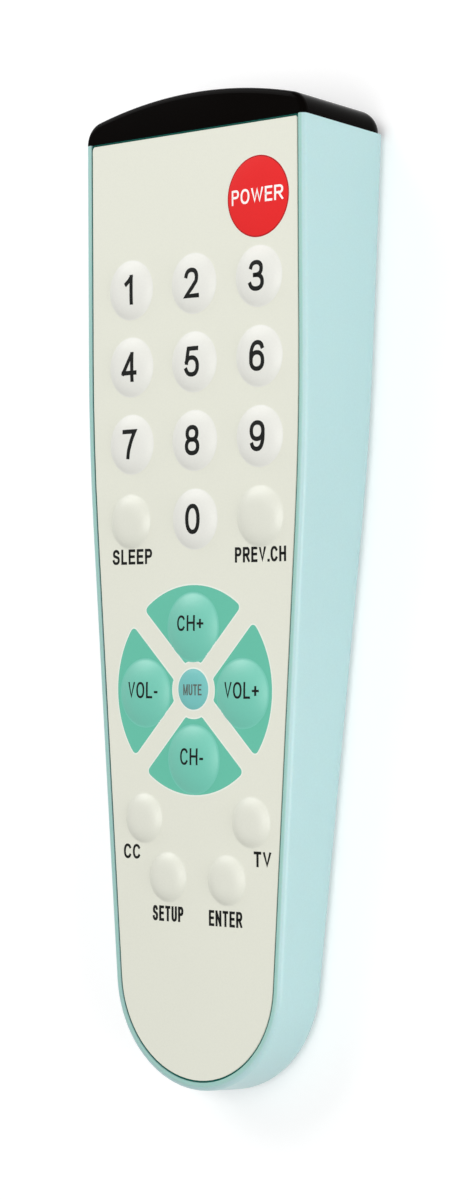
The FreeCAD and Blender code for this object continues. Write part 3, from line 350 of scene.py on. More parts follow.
def flat_centre(name):
    """A dome's centre and radius in the face frame, from its key's mesh."""
    flat = FACE.inverted()
    spots = [flat @ vertex.co for vertex in frame["nodes"][name].data.vertices]
    across = [spot.x for spot in spots]
    along = [spot.y for spot in spots]
    centre = Vector(((min(across) + max(across)) / 2, (min(along) + max(along)) / 2, 0))
    cap = [spot for spot in spots if spot.z > -CAP_DEPTH]
    radius = max((Vector((spot.x, spot.y, 0)) - centre).length for spot in cap)
    return centre + Vector((FILM_SHIFTS.get(name, 0), 0, 0)), radius


KEY_PLACES = {name: flat_centre(name)
              for name in WHITE_KEYS + RING_KEYS + ["power_key", "mute_key"]}


# Shader node groups, each built once

def new_group(name, inputs, outputs):
    """An empty node group with named sockets."""
    group = bpy.data.node_groups.new(name, "ShaderNodeTree")
    for label, kind, default in inputs:
        socket = group.interface.new_socket(label, in_out="INPUT", socket_type=kind)
        if default is not None:
            socket.default_value = default
    for label, kind in outputs:
        group.interface.new_socket(label, in_out="OUTPUT", socket_type=kind)
    start = group.nodes.new("NodeGroupInput")
    end = group.nodes.new("NodeGroupOutput")
    start.location = (-900, 0)
    end.location = (700, 0)
    return group, start, end


def add_node(tree, kind, place_at, values=None, **settings):
    """Add a shader node to a tree, and set its properties and the values of its inputs."""
    node = tree.nodes.new("ShaderNode" + kind)
    node.location = place_at
    for name, value in settings.items():
        setattr(node, name, value)
    for socket, value in (values or {}).items():
        node.inputs[socket].default_value = value
    return node


def wire(tree, *links):
    """Link sockets. Each link gives a node, its output, the next node and its input."""
    for source, output, target, socket in links:
        tree.links.new(source.outputs[output], target.inputs[socket])


def noise_range(low, high):
    """The values of a map range that spreads a noise from low to high."""
    return {"From Min": 0.3, "From Max": 0.7, "To Min": low, "To Max": high}


def mould_grain():
    """Fine grain and slow waves of a moulded or printed surface."""
    group = bpy.data.node_groups.get("mould_grain")
    if group:
        return group
    group, start, end = new_group(
        "mould_grain",
        [("Place", "NodeSocketVector", None), ("Fineness", "NodeSocketFloat", 3000.0),
         ("Waves", "NodeSocketFloat", 40.0), ("Wave Share", "NodeSocketFloat", 0.3)],
        [("Height", "NodeSocketFloat"), ("Mask", "NodeSocketFloat")])
    fine = add_node(group, "TexNoise", (-600, 200), {"Detail": 3.0})
    slow = add_node(group, "TexNoise", (-600, -200), {"Detail": 2.0})
    both = add_node(group, "Mix", (-200, 0), data_type="FLOAT")
    wire(group,
         (start, "Place", fine, "Vector"), (start, "Place", slow, "Vector"),
         (start, "Fineness", fine, "Scale"), (start, "Waves", slow, "Scale"),
         (start, "Wave Share", both, "Factor"), (fine, "Fac", both, "A"),
         (slow, "Fac", both, "B"), (both, "Result", end, "Height"), (slow, "Fac", end, "Mask"))
    return group


def tone_drift():
    """A colour that drifts a little over the surface, with faint specks."""
    group = bpy.data.node_groups.get("tone_drift")
    if group:
        return group
    group, start, end = new_group(
        "tone_drift",
        [("Place", "NodeSocketVector", None), ("Colour", "NodeSocketColor", (1, 1, 1, 1)),
         ("Drift", "NodeSocketFloat", 0.04), ("Size", "NodeSocketFloat", 18.0),
         ("Specks", "NodeSocketFloat", 0.02)],
        [("Colour", "NodeSocketColor")])
    slow = add_node(group, "TexNoise", (-600, 100), {"Detail": 3.0})
    speck = add_node(group, "TexNoise", (-600, -200), {"Scale": 2600.0, "Detail": 1.0})
    level = add_node(group, "MapRange", (-350, 100), noise_range(-0.5, 0.5))
    dust = add_node(group, "MapRange", (-350, -200), noise_range(-0.5, 0.5))
    drift = add_node(group, "Math", (-100, 100), operation="MULTIPLY")
    grit = add_node(group, "Math", (-100, -200), operation="MULTIPLY")
    total = add_node(group, "Math", (80, 0), operation="ADD")
    gain = add_node(group, "Math", (240, 0), {1: 1.0}, operation="ADD")
    tinted = add_node(group, "VectorMath", (450, 0), operation="SCALE")
    wire(group,
         (start, "Place", slow, "Vector"), (start, "Place", speck, "Vector"),
         (start, "Size", slow, "Scale"), (slow, "Fac", level, "Value"),
         (speck, "Fac", dust, "Value"), (level, "Result", drift, 0), (start, "Drift", drift, 1),
         (dust, "Result", grit, 0), (start, "Specks", grit, 1), (drift, "Value", total, 0),
         (grit, "Value", total, 1), (total, "Value", gain, 0), (start, "Colour", tinted, 0),
         (gain, "Value", tinted, "Scale"), (tinted, "Vector", end, "Colour"))
    return group


def new_material(name, base, roughness=0.5, spread=0.08, grain=3000.0, waves=40.0, share=0.3,
                 depth=0.006, drift=0.03, specks=0.02, **sockets):
    """A material whose colour, roughness and bump drift over Object coordinates.

    depth is the bump's height in millimetres; sockets are constants of the shader.
    """
    made = bpy.data.materials.get(name)
    if made:
        return made
    made = bpy.data.materials.new(name)
    made.use_nodes = True
    made.diffuse_color = (*base, 1)
    tree = made.node_tree
    shader = tree.nodes["Principled BSDF"]
    for label, value in sockets.items():
        shader.inputs[label.replace("_", " ")].default_value = value
    where = add_node(tree, "TexCoord", (-1100, 0))
    tone = add_node(tree, "Group", (-700, 250), {
        "Colour": (*base, 1), "Drift": drift, "Specks": specks}, node_tree=tone_drift())
    texture = add_node(tree, "Group", (-700, -150), {
        "Fineness": grain, "Waves": waves, "Wave Share": share}, node_tree=mould_grain())
    rough = add_node(tree, "MapRange", (-400, -50),
                     noise_range(roughness - spread, roughness + spread))
    bump = add_node(tree, "Bump", (-400, -300), {"Strength": 1.0, "Distance": depth * MM})
    wire(tree,
         (where, "Object", tone, "Place"), (where, "Object", texture, "Place"),
         (tone, "Colour", shader, "Base Color"), (texture, "Mask", rough, "Value"),
         (rough, "Result", shader, "Roughness"), (texture, "Height", bump, "Height"),
         (bump, "Normal", shader, "Normal"))
    return made


def colour_nodes(made):
    """A material's tree, its tone group and its coordinates."""
    tree = made.node_tree
    tone = next(n for n in tree.nodes if n.type == "GROUP" and n.node_tree.name == "tone_drift")
    where = next(n for n in tree.nodes if n.type == "TEX_COORD")
    return tree, tone, where


def banded(made, stops):
    """Replace a material's plain colour by bands along Y: where each starts, and its colour."""
    tree, tone, where = colour_nodes(made)
    low, high = stops[0][0], stops[-1][0]
    split = add_node(tree, "SeparateXYZ", (-1300, 500))
    reach = add_node(tree, "MapRange", (-1100, 500), {"From Min": low, "From Max": high})
    ramp = add_node(tree, "ValToRGB", (-950, 500))
    ramp.color_ramp.interpolation = "CONSTANT"
    marks = ramp.color_ramp.elements
    while len(marks) > 1:
        marks.remove(marks[-1])
    for step, (spot, tint) in enumerate(stops):
        share = (spot - low) / (high - low)
        mark = marks[0] if step == 0 else marks.new(share)
        mark.position = share
        mark.color = (*tint, 1)
    wire(tree, (where, "Object", split, "Vector"), (split, "Y", reach, "Value"),
         (reach, "Result", ramp, "Fac"), (ramp, "Color", tone, "Colour"))
    return made


def two_toned(made, coordinate, first, second, kind, values, **settings):
    """Mix two colours by how far a coordinate reaches along the panel's normal."""
    tree, tone, where = colour_nodes(made)
    reach = add_node(tree, "VectorMath", (-1500, 500), {1: NORMAL}, operation="DOT_PRODUCT")
    share = add_node(tree, kind, (-1200, 500), values, **settings)
    tint = add_node(tree, "Mix", (-950, 500), {"A": (*first, 1), "B": (*second, 1)},
                    data_type="RGBA")
    wire(tree, (where, coordinate, reach, 0), (reach, "Value", share, 0),
         (share, 0, tint, "Factor"), (tint, "Result", tone, "Colour"))
    return made


# Finishes

def film_finish(name, base, **sockets):
    """Printed film: satin, with a very fine grain."""
    settings = {"roughness": 0.42, "spread": 0.05, "grain": 5200.0, "waves": 55.0,
                "share": 0.5, "depth": 0.004, "drift": 0.015, "specks": 0.02}
    settings.update(sockets)
    return new_material(name, base, **settings)


def ink_finish(name, base):
    return new_material(name, base, roughness=0.5, spread=0.05, grain=6000.0, depth=0.002,
                        drift=0.05, specks=0.1, Specular_IOR_Level=0.15)


def case_finish():
    """The case's plastic, with painted shade: darker where it faces the way the panel does."""
    made = new_material("case_plastic", tuple(colours().case), roughness=0.36, spread=0.06,
                        grain=2600.0, waves=30.0, share=0.55, depth=0.005, drift=0.03,
                        specks=0.03, Subsurface_Weight=0.08, Subsurface_Scale=0.002,
                        Coat_Weight=0.2, Coat_Roughness=0.3)
    # Painted shade: faces turned the way the panel does are mixed to the darker rim shade
    # colour.
    return two_toned(made, "Normal", colours().case, colours().rim, "MapRange",
                     {"From Min": 0.9, "From Max": 0.99})


def window_finish():
    return new_material("window_plastic", tuple(colours().window), roughness=0.16, spread=0.05,
                        grain=1500.0, waves=25.0, share=0.8, depth=0.002, drift=0.3,
                        specks=0.1, Specular_IOR_Level=0.02)


def panel_finish():
    """The panel's plastic: cream above, and painted shade down its side, as dark as the groove's
    strip.
    """
    made = film_finish("panel_plastic", tuple(colours().film), roughness=0.5)
    # Painted shade: below its upper side the panel takes the dark groove shade colour.
    return two_toned(made, "Object", colours().film, colours().seal, "Math",
                     {1: PANEL_TOP - 0.03 * MM}, operation="LESS_THAN")


def metal_finish(name, base, roughness=0.3):
    return new_material(name, base, roughness=roughness, spread=0.1, grain=1800.0, waves=160.0,
                        share=0.4, depth=0.004, drift=0.1, specks=0.1, Metallic=1.0)


def dress_frame():
    """Give every CAD node that shows its own finish."""
    nodes = frame["nodes"]
    tints = colours()
    case = case_finish()
    white = film_finish("rubber_white", srgb(236, 236, 230), roughness=0.6)
    green = film_finish("rubber_green", tuple(tints.green), roughness=0.6)
    red = film_finish("rubber_red", tuple(tints.red), roughness=0.6)
    steel = metal_finish("zinc_steel", srgb(196, 198, 200), 0.32)
    spring = metal_finish("nickel_spring", srgb(206, 202, 192), 0.24)
    for name in ("rear_case", "battery_door"):
        give(nodes[name], case)
    give(nodes["infrared_window"], window_finish())
    give(nodes["key_panel"], panel_finish())
    for name in WHITE_KEYS:
        give(nodes[name], white)
    for name in RING_KEYS + ["mute_key"]:
        give(nodes[name], green)
    give(nodes["power_key"], red)
    give(nodes["key_mat"], new_material("mat_rubber", srgb(88, 92, 94), roughness=0.7,
                                        grain=3200.0, depth=0.01, drift=0.06))
    board = new_material("board_laminate", srgb(30, 92, 58), roughness=0.34, grain=1400.0,
                         waves=260.0, share=0.5, depth=0.01, drift=0.12, specks=0.12,
                         Coat_Weight=0.4, Coat_Roughness=0.15)
    give(nodes["circuit_board"], board)
    give(nodes["controller_chip"], new_material("chip_epoxy", srgb(30, 30, 32), roughness=0.55,
                                                grain=4000.0, depth=0.01, specks=0.2))
    give(nodes["resonator"], metal_finish("resonator_can", srgb(188, 190, 192), 0.28))
    give(nodes["capacitor"], new_material("capacitor_sleeve", srgb(28, 36, 78), roughness=0.35,
                                          grain=2000.0, depth=0.004, drift=0.1))
    lens = new_material("emitter_resin", srgb(150, 178, 214), roughness=0.08, spread=0.03,
                        depth=0.001, IOR=1.5, Transmission_Weight=0.7)
    for side in ("left", "right"):
        give(nodes["emitter_" + side], lens)
        give(nodes["contact_spring_" + side], spring)
    for name in ("contact_positive", "contact_negative", "contact_bridge"):
        give(nodes[name], spring)
    give(nodes["door_gasket"], new_material("gasket_foam", srgb(58, 60, 62), roughness=0.9,
                                            spread=0.04, grain=2400.0, depth=0.03, specks=0.4))
    for name in nodes:
        if "screw" in name:
            give(nodes[name], steel)
    dress_cells()


def dress_cells():
    """Battery cells: bare ends, a dark sleeve and a copper band at the button's end."""
    metal = srgb(198, 198, 196)
    dark = srgb(34, 38, 46)
    copper = srgb(196, 128, 62)
    end = 0.9 * MM
    neck = 0.8 * MM + end
    band = 12.0 * MM
    for name, button_ahead in (("battery_left", True), ("battery_right", False)):
        low, high = (corner.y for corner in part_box(name))
        made = new_material(name + "_sleeve", dark, roughness=0.3, spread=0.06, grain=1500.0,
                            depth=0.003, drift=0.06, Coat_Weight=0.3, Coat_Roughness=0.2,
                            Metallic=0.4)
        if button_ahead:
            stops = [(low, metal), (low + end, dark), (high - neck - band, copper),
                     (high - neck, metal), (high, metal)]
        else:
            stops = [(low, metal), (low + neck, copper), (low + neck + band, dark),
                     (high - end, metal), (high, metal)]
        give(frame["nodes"][name], banded(made, stops))


# Face film

SIDES = 72
STANDARD_POWER = 4.0
RING_POWER = 2.6
FLAT_POWER = 4.0

# Rings from a dome's fillet to its middle, as shares of the radius there
DOME_SHARES = (0.95, 0.89, 0.82, 0.74, 0.65, 0.55, 0.44, 0.32, 0.2, 0.09)

# Where the colour changes round a flat dome, as shares of the fillet
LINE_PAST_FOOT = 0.1
RED_EDGE_REACH = 0.9


def dome_form(name):
    """A key's dome: its rise, and the power of its curve, higher for a flatter top."""
    if name in ("power_key", "mute_key"):
        return film().flat_dome, FLAT_POWER
    return film().dome, RING_POWER if name in RING_KEYS else STANDARD_POWER


def dome_height(spot, radius, rise, power):
    """Height of a dome above the flat film, at a distance from its axis."""
    fillet = film().dome_fillet
    slope = power * rise / radius
    if spot >= radius + fillet:
        return 0.0
    if spot > radius - fillet:
        return slope * (radius + fillet - spot) ** 2 / (4 * fillet)
    return rise * (1 - (spot / radius) ** power)


def dome_rings(radius, margin, line):
    """Radii of a dome's rings, from its outer edge inwards."""
    fillet = film().dome_fillet
    rings = [radius + margin, radius + fillet, radius + fillet / 2]
    if line > fillet:
        rings.insert(1, radius + line)
    rings += [radius, radius - fillet / 2, radius - fillet]
    return rings + [share * (radius - fillet) for share in DOME_SHARES]


def model_dome(name, radius, margin, rise, power, line=0.0):
    """One dome of the film in the face frame, on its own axis, open at its edge."""
    rings = dome_rings(radius, margin, line)
    heights = [dome_height(ring, radius, rise, power) for ring in rings]
    level = film().level
    nothing_selected()
    bpy.ops.mesh.primitive_circle_add(vertices=SIDES, radius=rings[0], location=(0, 0, level))
    bpy.ops.object.mode_set(mode="EDIT")
    select_all()
    for outer, inner in zip(range(len(rings)), range(1, len(rings))):
        rise_by = heights[inner] - heights[outer]
        bpy.ops.mesh.extrude_region_move(TRANSFORM_OT_translate={"value": (0, 0, rise_by)})
        factor = rings[inner] / rings[outer]
        bpy.ops.transform.resize(value=(factor, factor, 1),
                                 center_override=(0, 0, level + heights[inner]))
    top = level + dome_height(0, radius, rise, power)
    bpy.ops.mesh.extrude_region_move(
        TRANSFORM_OT_translate={"value": (0, 0, top - level - heights[-1])})
    bpy.ops.mesh.merge(type="CENTER")
    piece = done(name)
    apply_place(piece)
    face_up(piece)
    return piece


def film_wall(piece):
    """Give a piece of film its thickness, downwards."""
    apply_modifier(piece, "SOLIDIFY", thickness=film().thickness, offset=-1.0)
    smooth(piece)


PRINT_SHINE = {
    "red": {"roughness": 0.45, "Specular_IOR_Level": 0.06},
    "red_edge": {"roughness": 0.45, "Specular_IOR_Level": 0.06},
    "green_dome": {"roughness": 0.43, "Specular_IOR_Level": 1.0, "Coat_Weight": 1.0,
                   "Coat_Roughness": 0.39},
    "white": {"roughness": 0.4, "Specular_IOR_Level": 0.5},
    "blank": {"roughness": 0.4, "Specular_IOR_Level": 0.8},
}


def print_film(name):
    """The film with one of the printed colours; most domes have more gloss than the ground."""
    return film_finish("film_" + name, tuple(getattr(colours(), name)),
                       **PRINT_SHINE.get(name, {}))


def key_margin(name):
    """Flat film that goes with a key's dome."""
    sizes = film()
    if name in RING_KEYS:
        return sizes.ring_margin
    return {"power_key": sizes.power_margin, "mute_key": sizes.mute_margin}.get(
        name, sizes.white_margin)


def bend_with_key(piece):
    """Lay a piece on the face."""
    place(piece, FACE)
    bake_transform(piece)
    return piece


def make_domes():
    """The film's domes: each kind is modelled once, and copied to its keys."""
    sizes = film()
    kinds = {}
    for name, (_, radius) in KEY_PLACES.items():
        kind = (round(radius, 5), key_margin(name), name in DIGITS)
        kinds.setdefault(kind, []).append(name)
    for (radius, margin, _), names in sorted(kinds.items()):
        flat = names[0] in ("power_key", "mute_key")
        rise, power = dome_form(names[0])
        line = sizes.pale_line + sizes.dome_fillet * LINE_PAST_FOOT if flat else 0.0
        model = model_dome("dome_model", radius, margin, rise, power, line)
        dress_dome(model, names[0], radius, line)
        film_wall(model)
        for name in names:
            piece = copy_of(model, "film_dome_" + name.replace("_key", ""))
            place(piece, Matrix.Translation(KEY_PLACES[name][0]))
            if name in RING_KEYS:
                print_past_sector(piece, name)
            bend_with_key(piece)
        bpy.data.objects.remove(model)


def print_past_sector(piece, name):
    """Lay a ring dome over its sector, with the line and the ground printed past its sides."""
    sizes = film()
    place(piece, sector_frame(name).inverted() @ Matrix.Translation((0, 0, sizes.ring_lift)))
    sides = [(sizes.ring_cross - extra) * math.sqrt(2) for extra in (0, sizes.pale_line)]
    edit(piece)
    for side in sides:
        for way in (-1, 1):
            cut((0, side, 0), (way, -1, 0))
    done()
    for number, side in enumerate(sides, 1):
        finish_faces(piece, number, lambda centre: centre.y - abs(centre.x) < side)
    place(piece, sector_frame(name))


def dress_dome(piece, name, radius, line):
    """Colour a dome: print inside its foot, a line round some, and the ground beyond."""
    def beyond(limit):
        return lambda centre: Vector((centre.x, centre.y)).length > limit

    if name in RING_KEYS:
        give(piece, print_film("green_dome"), print_film("line"), print_film("film"))
    elif name == "power_key":
        give(piece, print_film("red"), print_film("red_edge"), print_film("film"))
        finish_faces(piece, 1, beyond(radius - film().dome_fillet * RED_EDGE_REACH))
        finish_faces(piece, 2, beyond(radius))
    elif name == "mute_key":
        give(piece, print_film("mute"), print_film("line"), print_film("film"))
        finish_faces(piece, 1, beyond(radius))
        finish_faces(piece, 2, beyond(radius + line))
    else:
        own = "white" if name in DIGITS else "blank"
        give(piece, print_film(own), print_film("film"))
        finish_faces(piece, 1, beyond(radius + film().dome_fillet / 2))


# A bevel of one corner takes its offset along the sides, so each rounding has its share.
SECTOR_SIDES = 96
CORNER_REACH = 1.3 * MM
OUTER_CORNER_SHARE = 1.1
INNER_CORNER_SHARE = 0.66


def sector_outline(name, extra):
    """The outline of the ring's upper sector, grown by extra, as one closed edge loop."""
    sizes = film()
    outer = sizes.ring_outer + extra
    inner = sizes.ring_inner - extra
    shift = (sizes.ring_cross - extra) * math.sqrt(2)
    nothing_selected()
    bpy.ops.mesh.primitive_circle_add(vertices=SECTOR_SIDES, radius=outer, fill_type="NGON",
                                      location=(0, 0, 0))
    bpy.ops.object.mode_set(mode="EDIT")
    for way in (-1, 1):
        cut((0, shift, 0), (way, -1, 0), clear=True)
    inner_across = (math.sqrt(2 * inner ** 2 - shift ** 2) - shift) / 2
    inner_along = inner_across + shift
    cut((0, inner_along, 0), (0, -1, 0), clear=True)
    outer_across = (math.sqrt(2 * outer ** 2 - shift ** 2) - shift) / 2
    outer_along = outer_across + shift

    def corner(across, along, reach):
        spot = Vector((across, along))
        return lambda vertex: (Vector((abs(vertex.co.x), vertex.co.y)) - spot).length < reach

    near = corner(outer_across, outer_along, CORNER_REACH)
    exact = corner(outer_across, outer_along, TINY)
    choose("VERT", lambda vertex: near(vertex) and not exact(vertex))
    bpy.ops.mesh.dissolve_verts()
    choose("VERT", exact)
    bpy.ops.mesh.bevel(affect="VERTICES", segments=6,
                       offset=(sizes.ring_corner + extra) * OUTER_CORNER_SHARE)
    choose("VERT", corner(inner_across, inner_along, TINY))
    bpy.ops.mesh.bevel(affect="VERTICES", segments=4,
                       offset=(sizes.ring_inner_corner + extra) * INNER_CORNER_SHARE)
    choose("EDGE", lambda edge: all(abs(v.co.y - inner_along) < TINY for v in edge.verts)
           and edge.calc_length() > inner_across)
    bpy.ops.mesh.subdivide(number_cuts=9)
    drawn = bmesh.from_edit_mesh(bpy.context.active_object.data)
    for vertex in drawn.verts:
        if vertex.select:
            vertex.co.y = math.sqrt(max(inner ** 2 - vertex.co.x ** 2, 0))
    bmesh.update_edit_mesh(bpy.context.active_object.data)
    select_all()
    bpy.ops.mesh.delete(type="ONLY_FACE")
    piece = done(name)
    piece.location = (0, 0, film().level)
    apply_place(piece)
    return piece


RING_TURNS = {"channel_up_key": 0, "volume_down_key": 90, "channel_down_key": 180,
              "volume_up_key": 270}


def sector_frame(name):
    """Where the upper sector's outline comes to lie for one of the ring's keys."""
    middle = KEY_PLACES["mute_key"][0] - Vector((0, RING_DROP, 0))
    turned = Matrix.Rotation(math.radians(RING_TURNS[name]) + RING_TURN, 4, "Z")
    return Matrix.Translation(middle) @ turned


def add_key_circle(name):
    """In edit mode, add the circle in which a key's dome sits."""
    centre, radius = KEY_PLACES[name]
    margin = -film().ring_lap if name in RING_KEYS else key_margin(name)
    bpy.ops.mesh.primitive_circle_add(vertices=SIDES, radius=radius + margin,
                                      location=(centre.x, centre.y, film().level))


def fill_loops(piece):
    """Fill the piece's edge loops, leaving its holes open, and give it a thickness."""
    edit(piece, "EDGE")
    select_all()
    bpy.ops.mesh.fill(use_beauty=True)
    done()
    face_up(piece)
    film_wall(piece)


def panel_outline(name, gap):
    """The outline of the panel's side, from the CAD node, set in by a gap, as one edge loop."""
    piece = copy_of(frame["nodes"]["key_panel"], name)
    piece.parent = None
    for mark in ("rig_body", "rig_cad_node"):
        del piece[mark]
    place(piece, FACE.inverted())
    edit(piece)
    select_all()
    bpy.ops.mesh.remove_doubles(threshold=0.001 * MM)
    spots = drawn_spots()
    side = max(spot.x for spot in spots)
    slack = 0.003 * MM
    wall_top = max(spot.z for spot in spots if spot.x > side - 0.005 * MM)
    choose("EDGE", lambda edge: all(abs(v.co.z - wall_top) < slack for v in edge.verts))
    bpy.ops.mesh.select_all(action="INVERT")
    bpy.ops.mesh.delete(type="EDGE")
    select_all()
    bpy.ops.mesh.delete_loose(use_verts=True, use_edges=False, use_faces=False)
    select_all()
    bpy.ops.transform.translate(value=(0, 0, film().level - wall_top))
    spots = drawn_spots()
    low, high = min(spot.y for spot in spots), max(spot.y for spot in spots)
    middle = Vector((0, (low + high) / 2, film().level))
    bpy.ops.transform.resize(value=(1 - gap / side, 1 - 2 * gap / (high - low), 1),
                             center_override=middle)
    return done()


def make_seal():
    """A dark strip of painted shade in the groove, between two outlines that lie outside the
    panel's.
    """
    sizes = film()
    outer = panel_outline("seal_outer", -sizes.seal_gap - sizes.seal_width)
    seal = panel_outline("groove_seal", -sizes.seal_gap)
    join_to(seal, [outer])
    edit(seal, "EDGE")
    select_all()
    bpy.ops.mesh.bridge_edge_loops()
    done()
    face_up(seal)
    place(seal, Matrix.Translation((0, 0, -sizes.seal_sunk)))
    apply_modifier(seal, "SOLIDIFY", thickness=sizes.seal_depth, offset=-1.0)
    smooth(seal)
    # Painted shade: the strip takes the dark groove shade colour.
    give(seal, new_material("seal_rubber", tuple(colours().seal), roughness=0.7, grain=4000.0,
                            depth=0.004, drift=0.1, specks=0.1, Specular_IOR_Level=0.2))
    place(seal, FACE)
    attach(seal, "case")


def make_film():
    """The film's flat ground, with room for the domes and the ring's print, and the groove's
    painted shade strip.
    """
    make_seal()
    sheet = panel_outline("face_film", film().edge_gap)
    outlines = []
    model = sector_outline("sector_line_model", film().pale_line)
    for name in RING_KEYS:
        outlines.append(place(copy_of(model, "sector_line_" + name), sector_frame(name)))
    bpy.data.objects.remove(model)
    edit(sheet, "EDGE")
    for name in WHITE_KEYS + ["power_key", "mute_key"]:
        add_key_circle(name)
    done()
    join_to(sheet, outlines)
    fill_loops(sheet)
    give(sheet, print_film("film"))
    place(sheet, FACE)
    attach(sheet, "case")


def make_ring():
    """The ring's four green sectors and the pale lines round them."""
    print_model = sector_outline("sector_model", 0.0)
    line_model = sector_outline("line_model", film().pale_line)
    for name in RING_KEYS:
        short = name.replace("_key", "")
        turn = sector_frame(name)
        sector = place(copy_of(print_model, "print_" + short), turn)
        inner = place(copy_of(print_model, "line_inner"), turn)
        line = place(copy_of(line_model, "print_line_" + short), turn)
        edit(sector, "EDGE")
        add_key_circle(name)
        done()
        fill_loops(sector)
        give(sector, print_film("green"))
        join_to(line, [inner])
        fill_loops(line)
        give(line, print_film("line"))
        for piece, slot in ((sector, "key_teal"), (line, "panel_cream")):
            place(piece, FACE)
            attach(piece, "case")
    bpy.data.objects.remove(print_model)
    bpy.data.objects.remove(line_model)


# Lettering. A letter is drawn with a pen, in a box one wide and one tall: its width against its
# height, and its strokes. A stroke's corners are (across, up).

BOW_STEP = 15
BOW_SQUARENESS = 0.88
MITRE_LEAST = 0.45

def bow(across, up, wide, tall, first, last):
    """Points of a bow about a middle, from one angle to another."""
    steps = max(round(abs(last - first) / BOW_STEP), 2)
    points = []
    for step in range(steps + 1):
        angle = math.radians(first + (last - first) * step / steps)
        square = [math.copysign(abs(part) ** BOW_SQUARENESS, part) for part in
                  (math.cos(angle), math.sin(angle))]
        points.append((across + wide * square[0], up + tall * square[1]))
    return points


def turned(strokes):
    """Strokes turned half round in their box."""
    return [[(1 - across, 1 - up) for across, up in stroke] for stroke in strokes]


SIX = [bow(0.5, 0.31, 0.5, 0.31, 0, 360),
       bow(0.53, 0.76, 0.43, 0.24, 15, 90) + bow(0.53, 0.45, 0.53, 0.55, 105, 180) + [(0, 0.3)]]
BOWL = [(0, 0), (0, 1)] + bow(0.6, 0.745, 0.4, 0.255, 90, -90) + [(0, 0.49)]
LETTERS = {
    "0": (0.66, [bow(0.5, 0.5, 0.5, 0.5, 0, 360)]),
    "1": (0.38, [[(1, 0), (1, 1)], [(0, 0.74), (0.5, 0.84), (0.95, 1)]]),
    "2": (0.66, [bow(0.5, 0.71, 0.47, 0.29, 168, -30) + [(0.55, 0.31), (0.02, 0), (1, 0)]]),
    "3": (0.66, [bow(0.47, 0.76, 0.45, 0.24, 165, -90) + [(0.36, 0.52)],
                 [(0.36, 0.52)] + bow(0.47, 0.26, 0.53, 0.26, 90, -165)]),
    "4": (0.7, [[(0.74, 0), (0.74, 1)], [(0.7, 1), (0, 0.27)], [(0, 0.27), (1, 0.27)]]),
    "5": (0.66, [[(0.92, 1), (0.2, 1), (0.05, 0.47)],
                 [(0.05, 0.5)] + bow(0.48, 0.325, 0.52, 0.325, 120, -158)]),
    "6": (0.66, SIX),
    "7": (0.66, [[(0, 1), (0.98, 1), (0.66, 0.62), (0.44, 0.28), (0.36, 0)]]),
    "8": (0.66, [bow(0.5, 0.76, 0.43, 0.24, 0, 360), bow(0.5, 0.265, 0.5, 0.265, 0, 360)]),
    "9": (0.66, turned(SIX)),
    "C": (0.72, [bow(0.52, 0.5, 0.52, 0.5, 38, 322)]),
    "E": (0.62, [[(1, 1), (0, 1), (0, 0), (1, 0)], [(0, 0.52), (0.9, 0.52)]]),
    "H": (0.68, [[(0, 0), (0, 1)], [(1, 0), (1, 1)], [(0, 0.52), (1, 0.52)]]),
    "L": (0.54, [[(0, 1), (0, 0), (1, 0)]]),
    "M": (0.82, [[(0, 0), (0, 1)], [(0, 1), (0.5, 0.06), (1, 1)], [(1, 1), (1, 0)]]),
    "N": (0.68, [[(0, 0), (0, 1)], [(0, 1), (1, 0)], [(1, 0), (1, 1)]]),
    "O": (0.76, [bow(0.5, 0.5, 0.5, 0.5, 0, 360)]),
    "P": (0.66, [BOWL]),
    "R": (0.7, [BOWL, [(0.5, 0.49), (1, 0)]]),
    "S": (0.66, [bow(0.5, 0.755, 0.45, 0.245, 20, 215) + bow(0.49, 0.27, 0.51, 0.27, 38, -165)]),
    "T": (0.64, [[(0, 1), (1, 1)], [(0.5, 1), (0.5, 0)]]),
    "U": (0.68, [[(0, 1)] + bow(0.5, 0.3, 0.5, 0.3, 180, 360) + [(1, 1)]]),
    "V": (0.7, [[(0, 1), (0.5, 0), (1, 1)]]),
    "W": (1.0, [[(0, 1), (0.26, 0), (0.5, 0.95), (0.74, 0), (1, 1)]]),
    "+": (0.52, [[(0, 0.46), (1, 0.46)], [(0.5, 0.2), (0.5, 0.72)]]),
    "-": (0.3, [[(0, 0.36), (1, 0.36)]]),
    ".": (0.16, [[(0, 0), (1, 0)]]),
}
LETTER_GAP = 0.15
INK_GRID = 0.5 * MM

# Digits: height, pen and place to the right of the key's centre in millimetres, and the share
# that is kept of their width
DIGIT_TALL = 5.8
DIGIT_PEN = 0.85
DIGIT_SIDEWAYS = 0.22
DIGIT_SPREAD = 0.98

# Words: key under them or None, place across and along the face, height, width and pen,
# all in millimetres. On a key the place is counted from its centre.
WORDS = (
    ("POWER", "power_key", 0.0, 0.15, 2.85, 12.9, 0.44),
    ("SLEEP", None, -16.25, 6.6, 2.95, 10.6, 0.54),
    ("PREV.CH", None, 17.0, 6.3, 2.9, 12.8, 0.52),
    ("CH+", "channel_up_key", 0.0, 0.75, 3.0, 6.8, 0.44),
    ("CH-", "channel_down_key", 0.25, 0.55, 3.2, 5.9, 0.44),
    ("VOL-", "volume_down_key", -0.05, 0.55, 3.15, 7.85, 0.44),
    ("VOL+", "volume_up_key", 0.3, 0.6, 3.15, 8.6, 0.44),
    ("MUTE", "mute_key", 0.1, -0.1, 2.1, 4.7, 0.3),
    ("CC", None, -16.65, -50.4, 2.85, 4.4, 0.5),
    ("TV", None, 17.15, -50.7, 2.9, 4.35, 0.54),
    ("SETUP", None, -7.15, -62.0, 2.95, 8.05, 0.54),
    ("ENTER", None, 7.75, -62.25, 3.0, 8.5, 0.52),
)


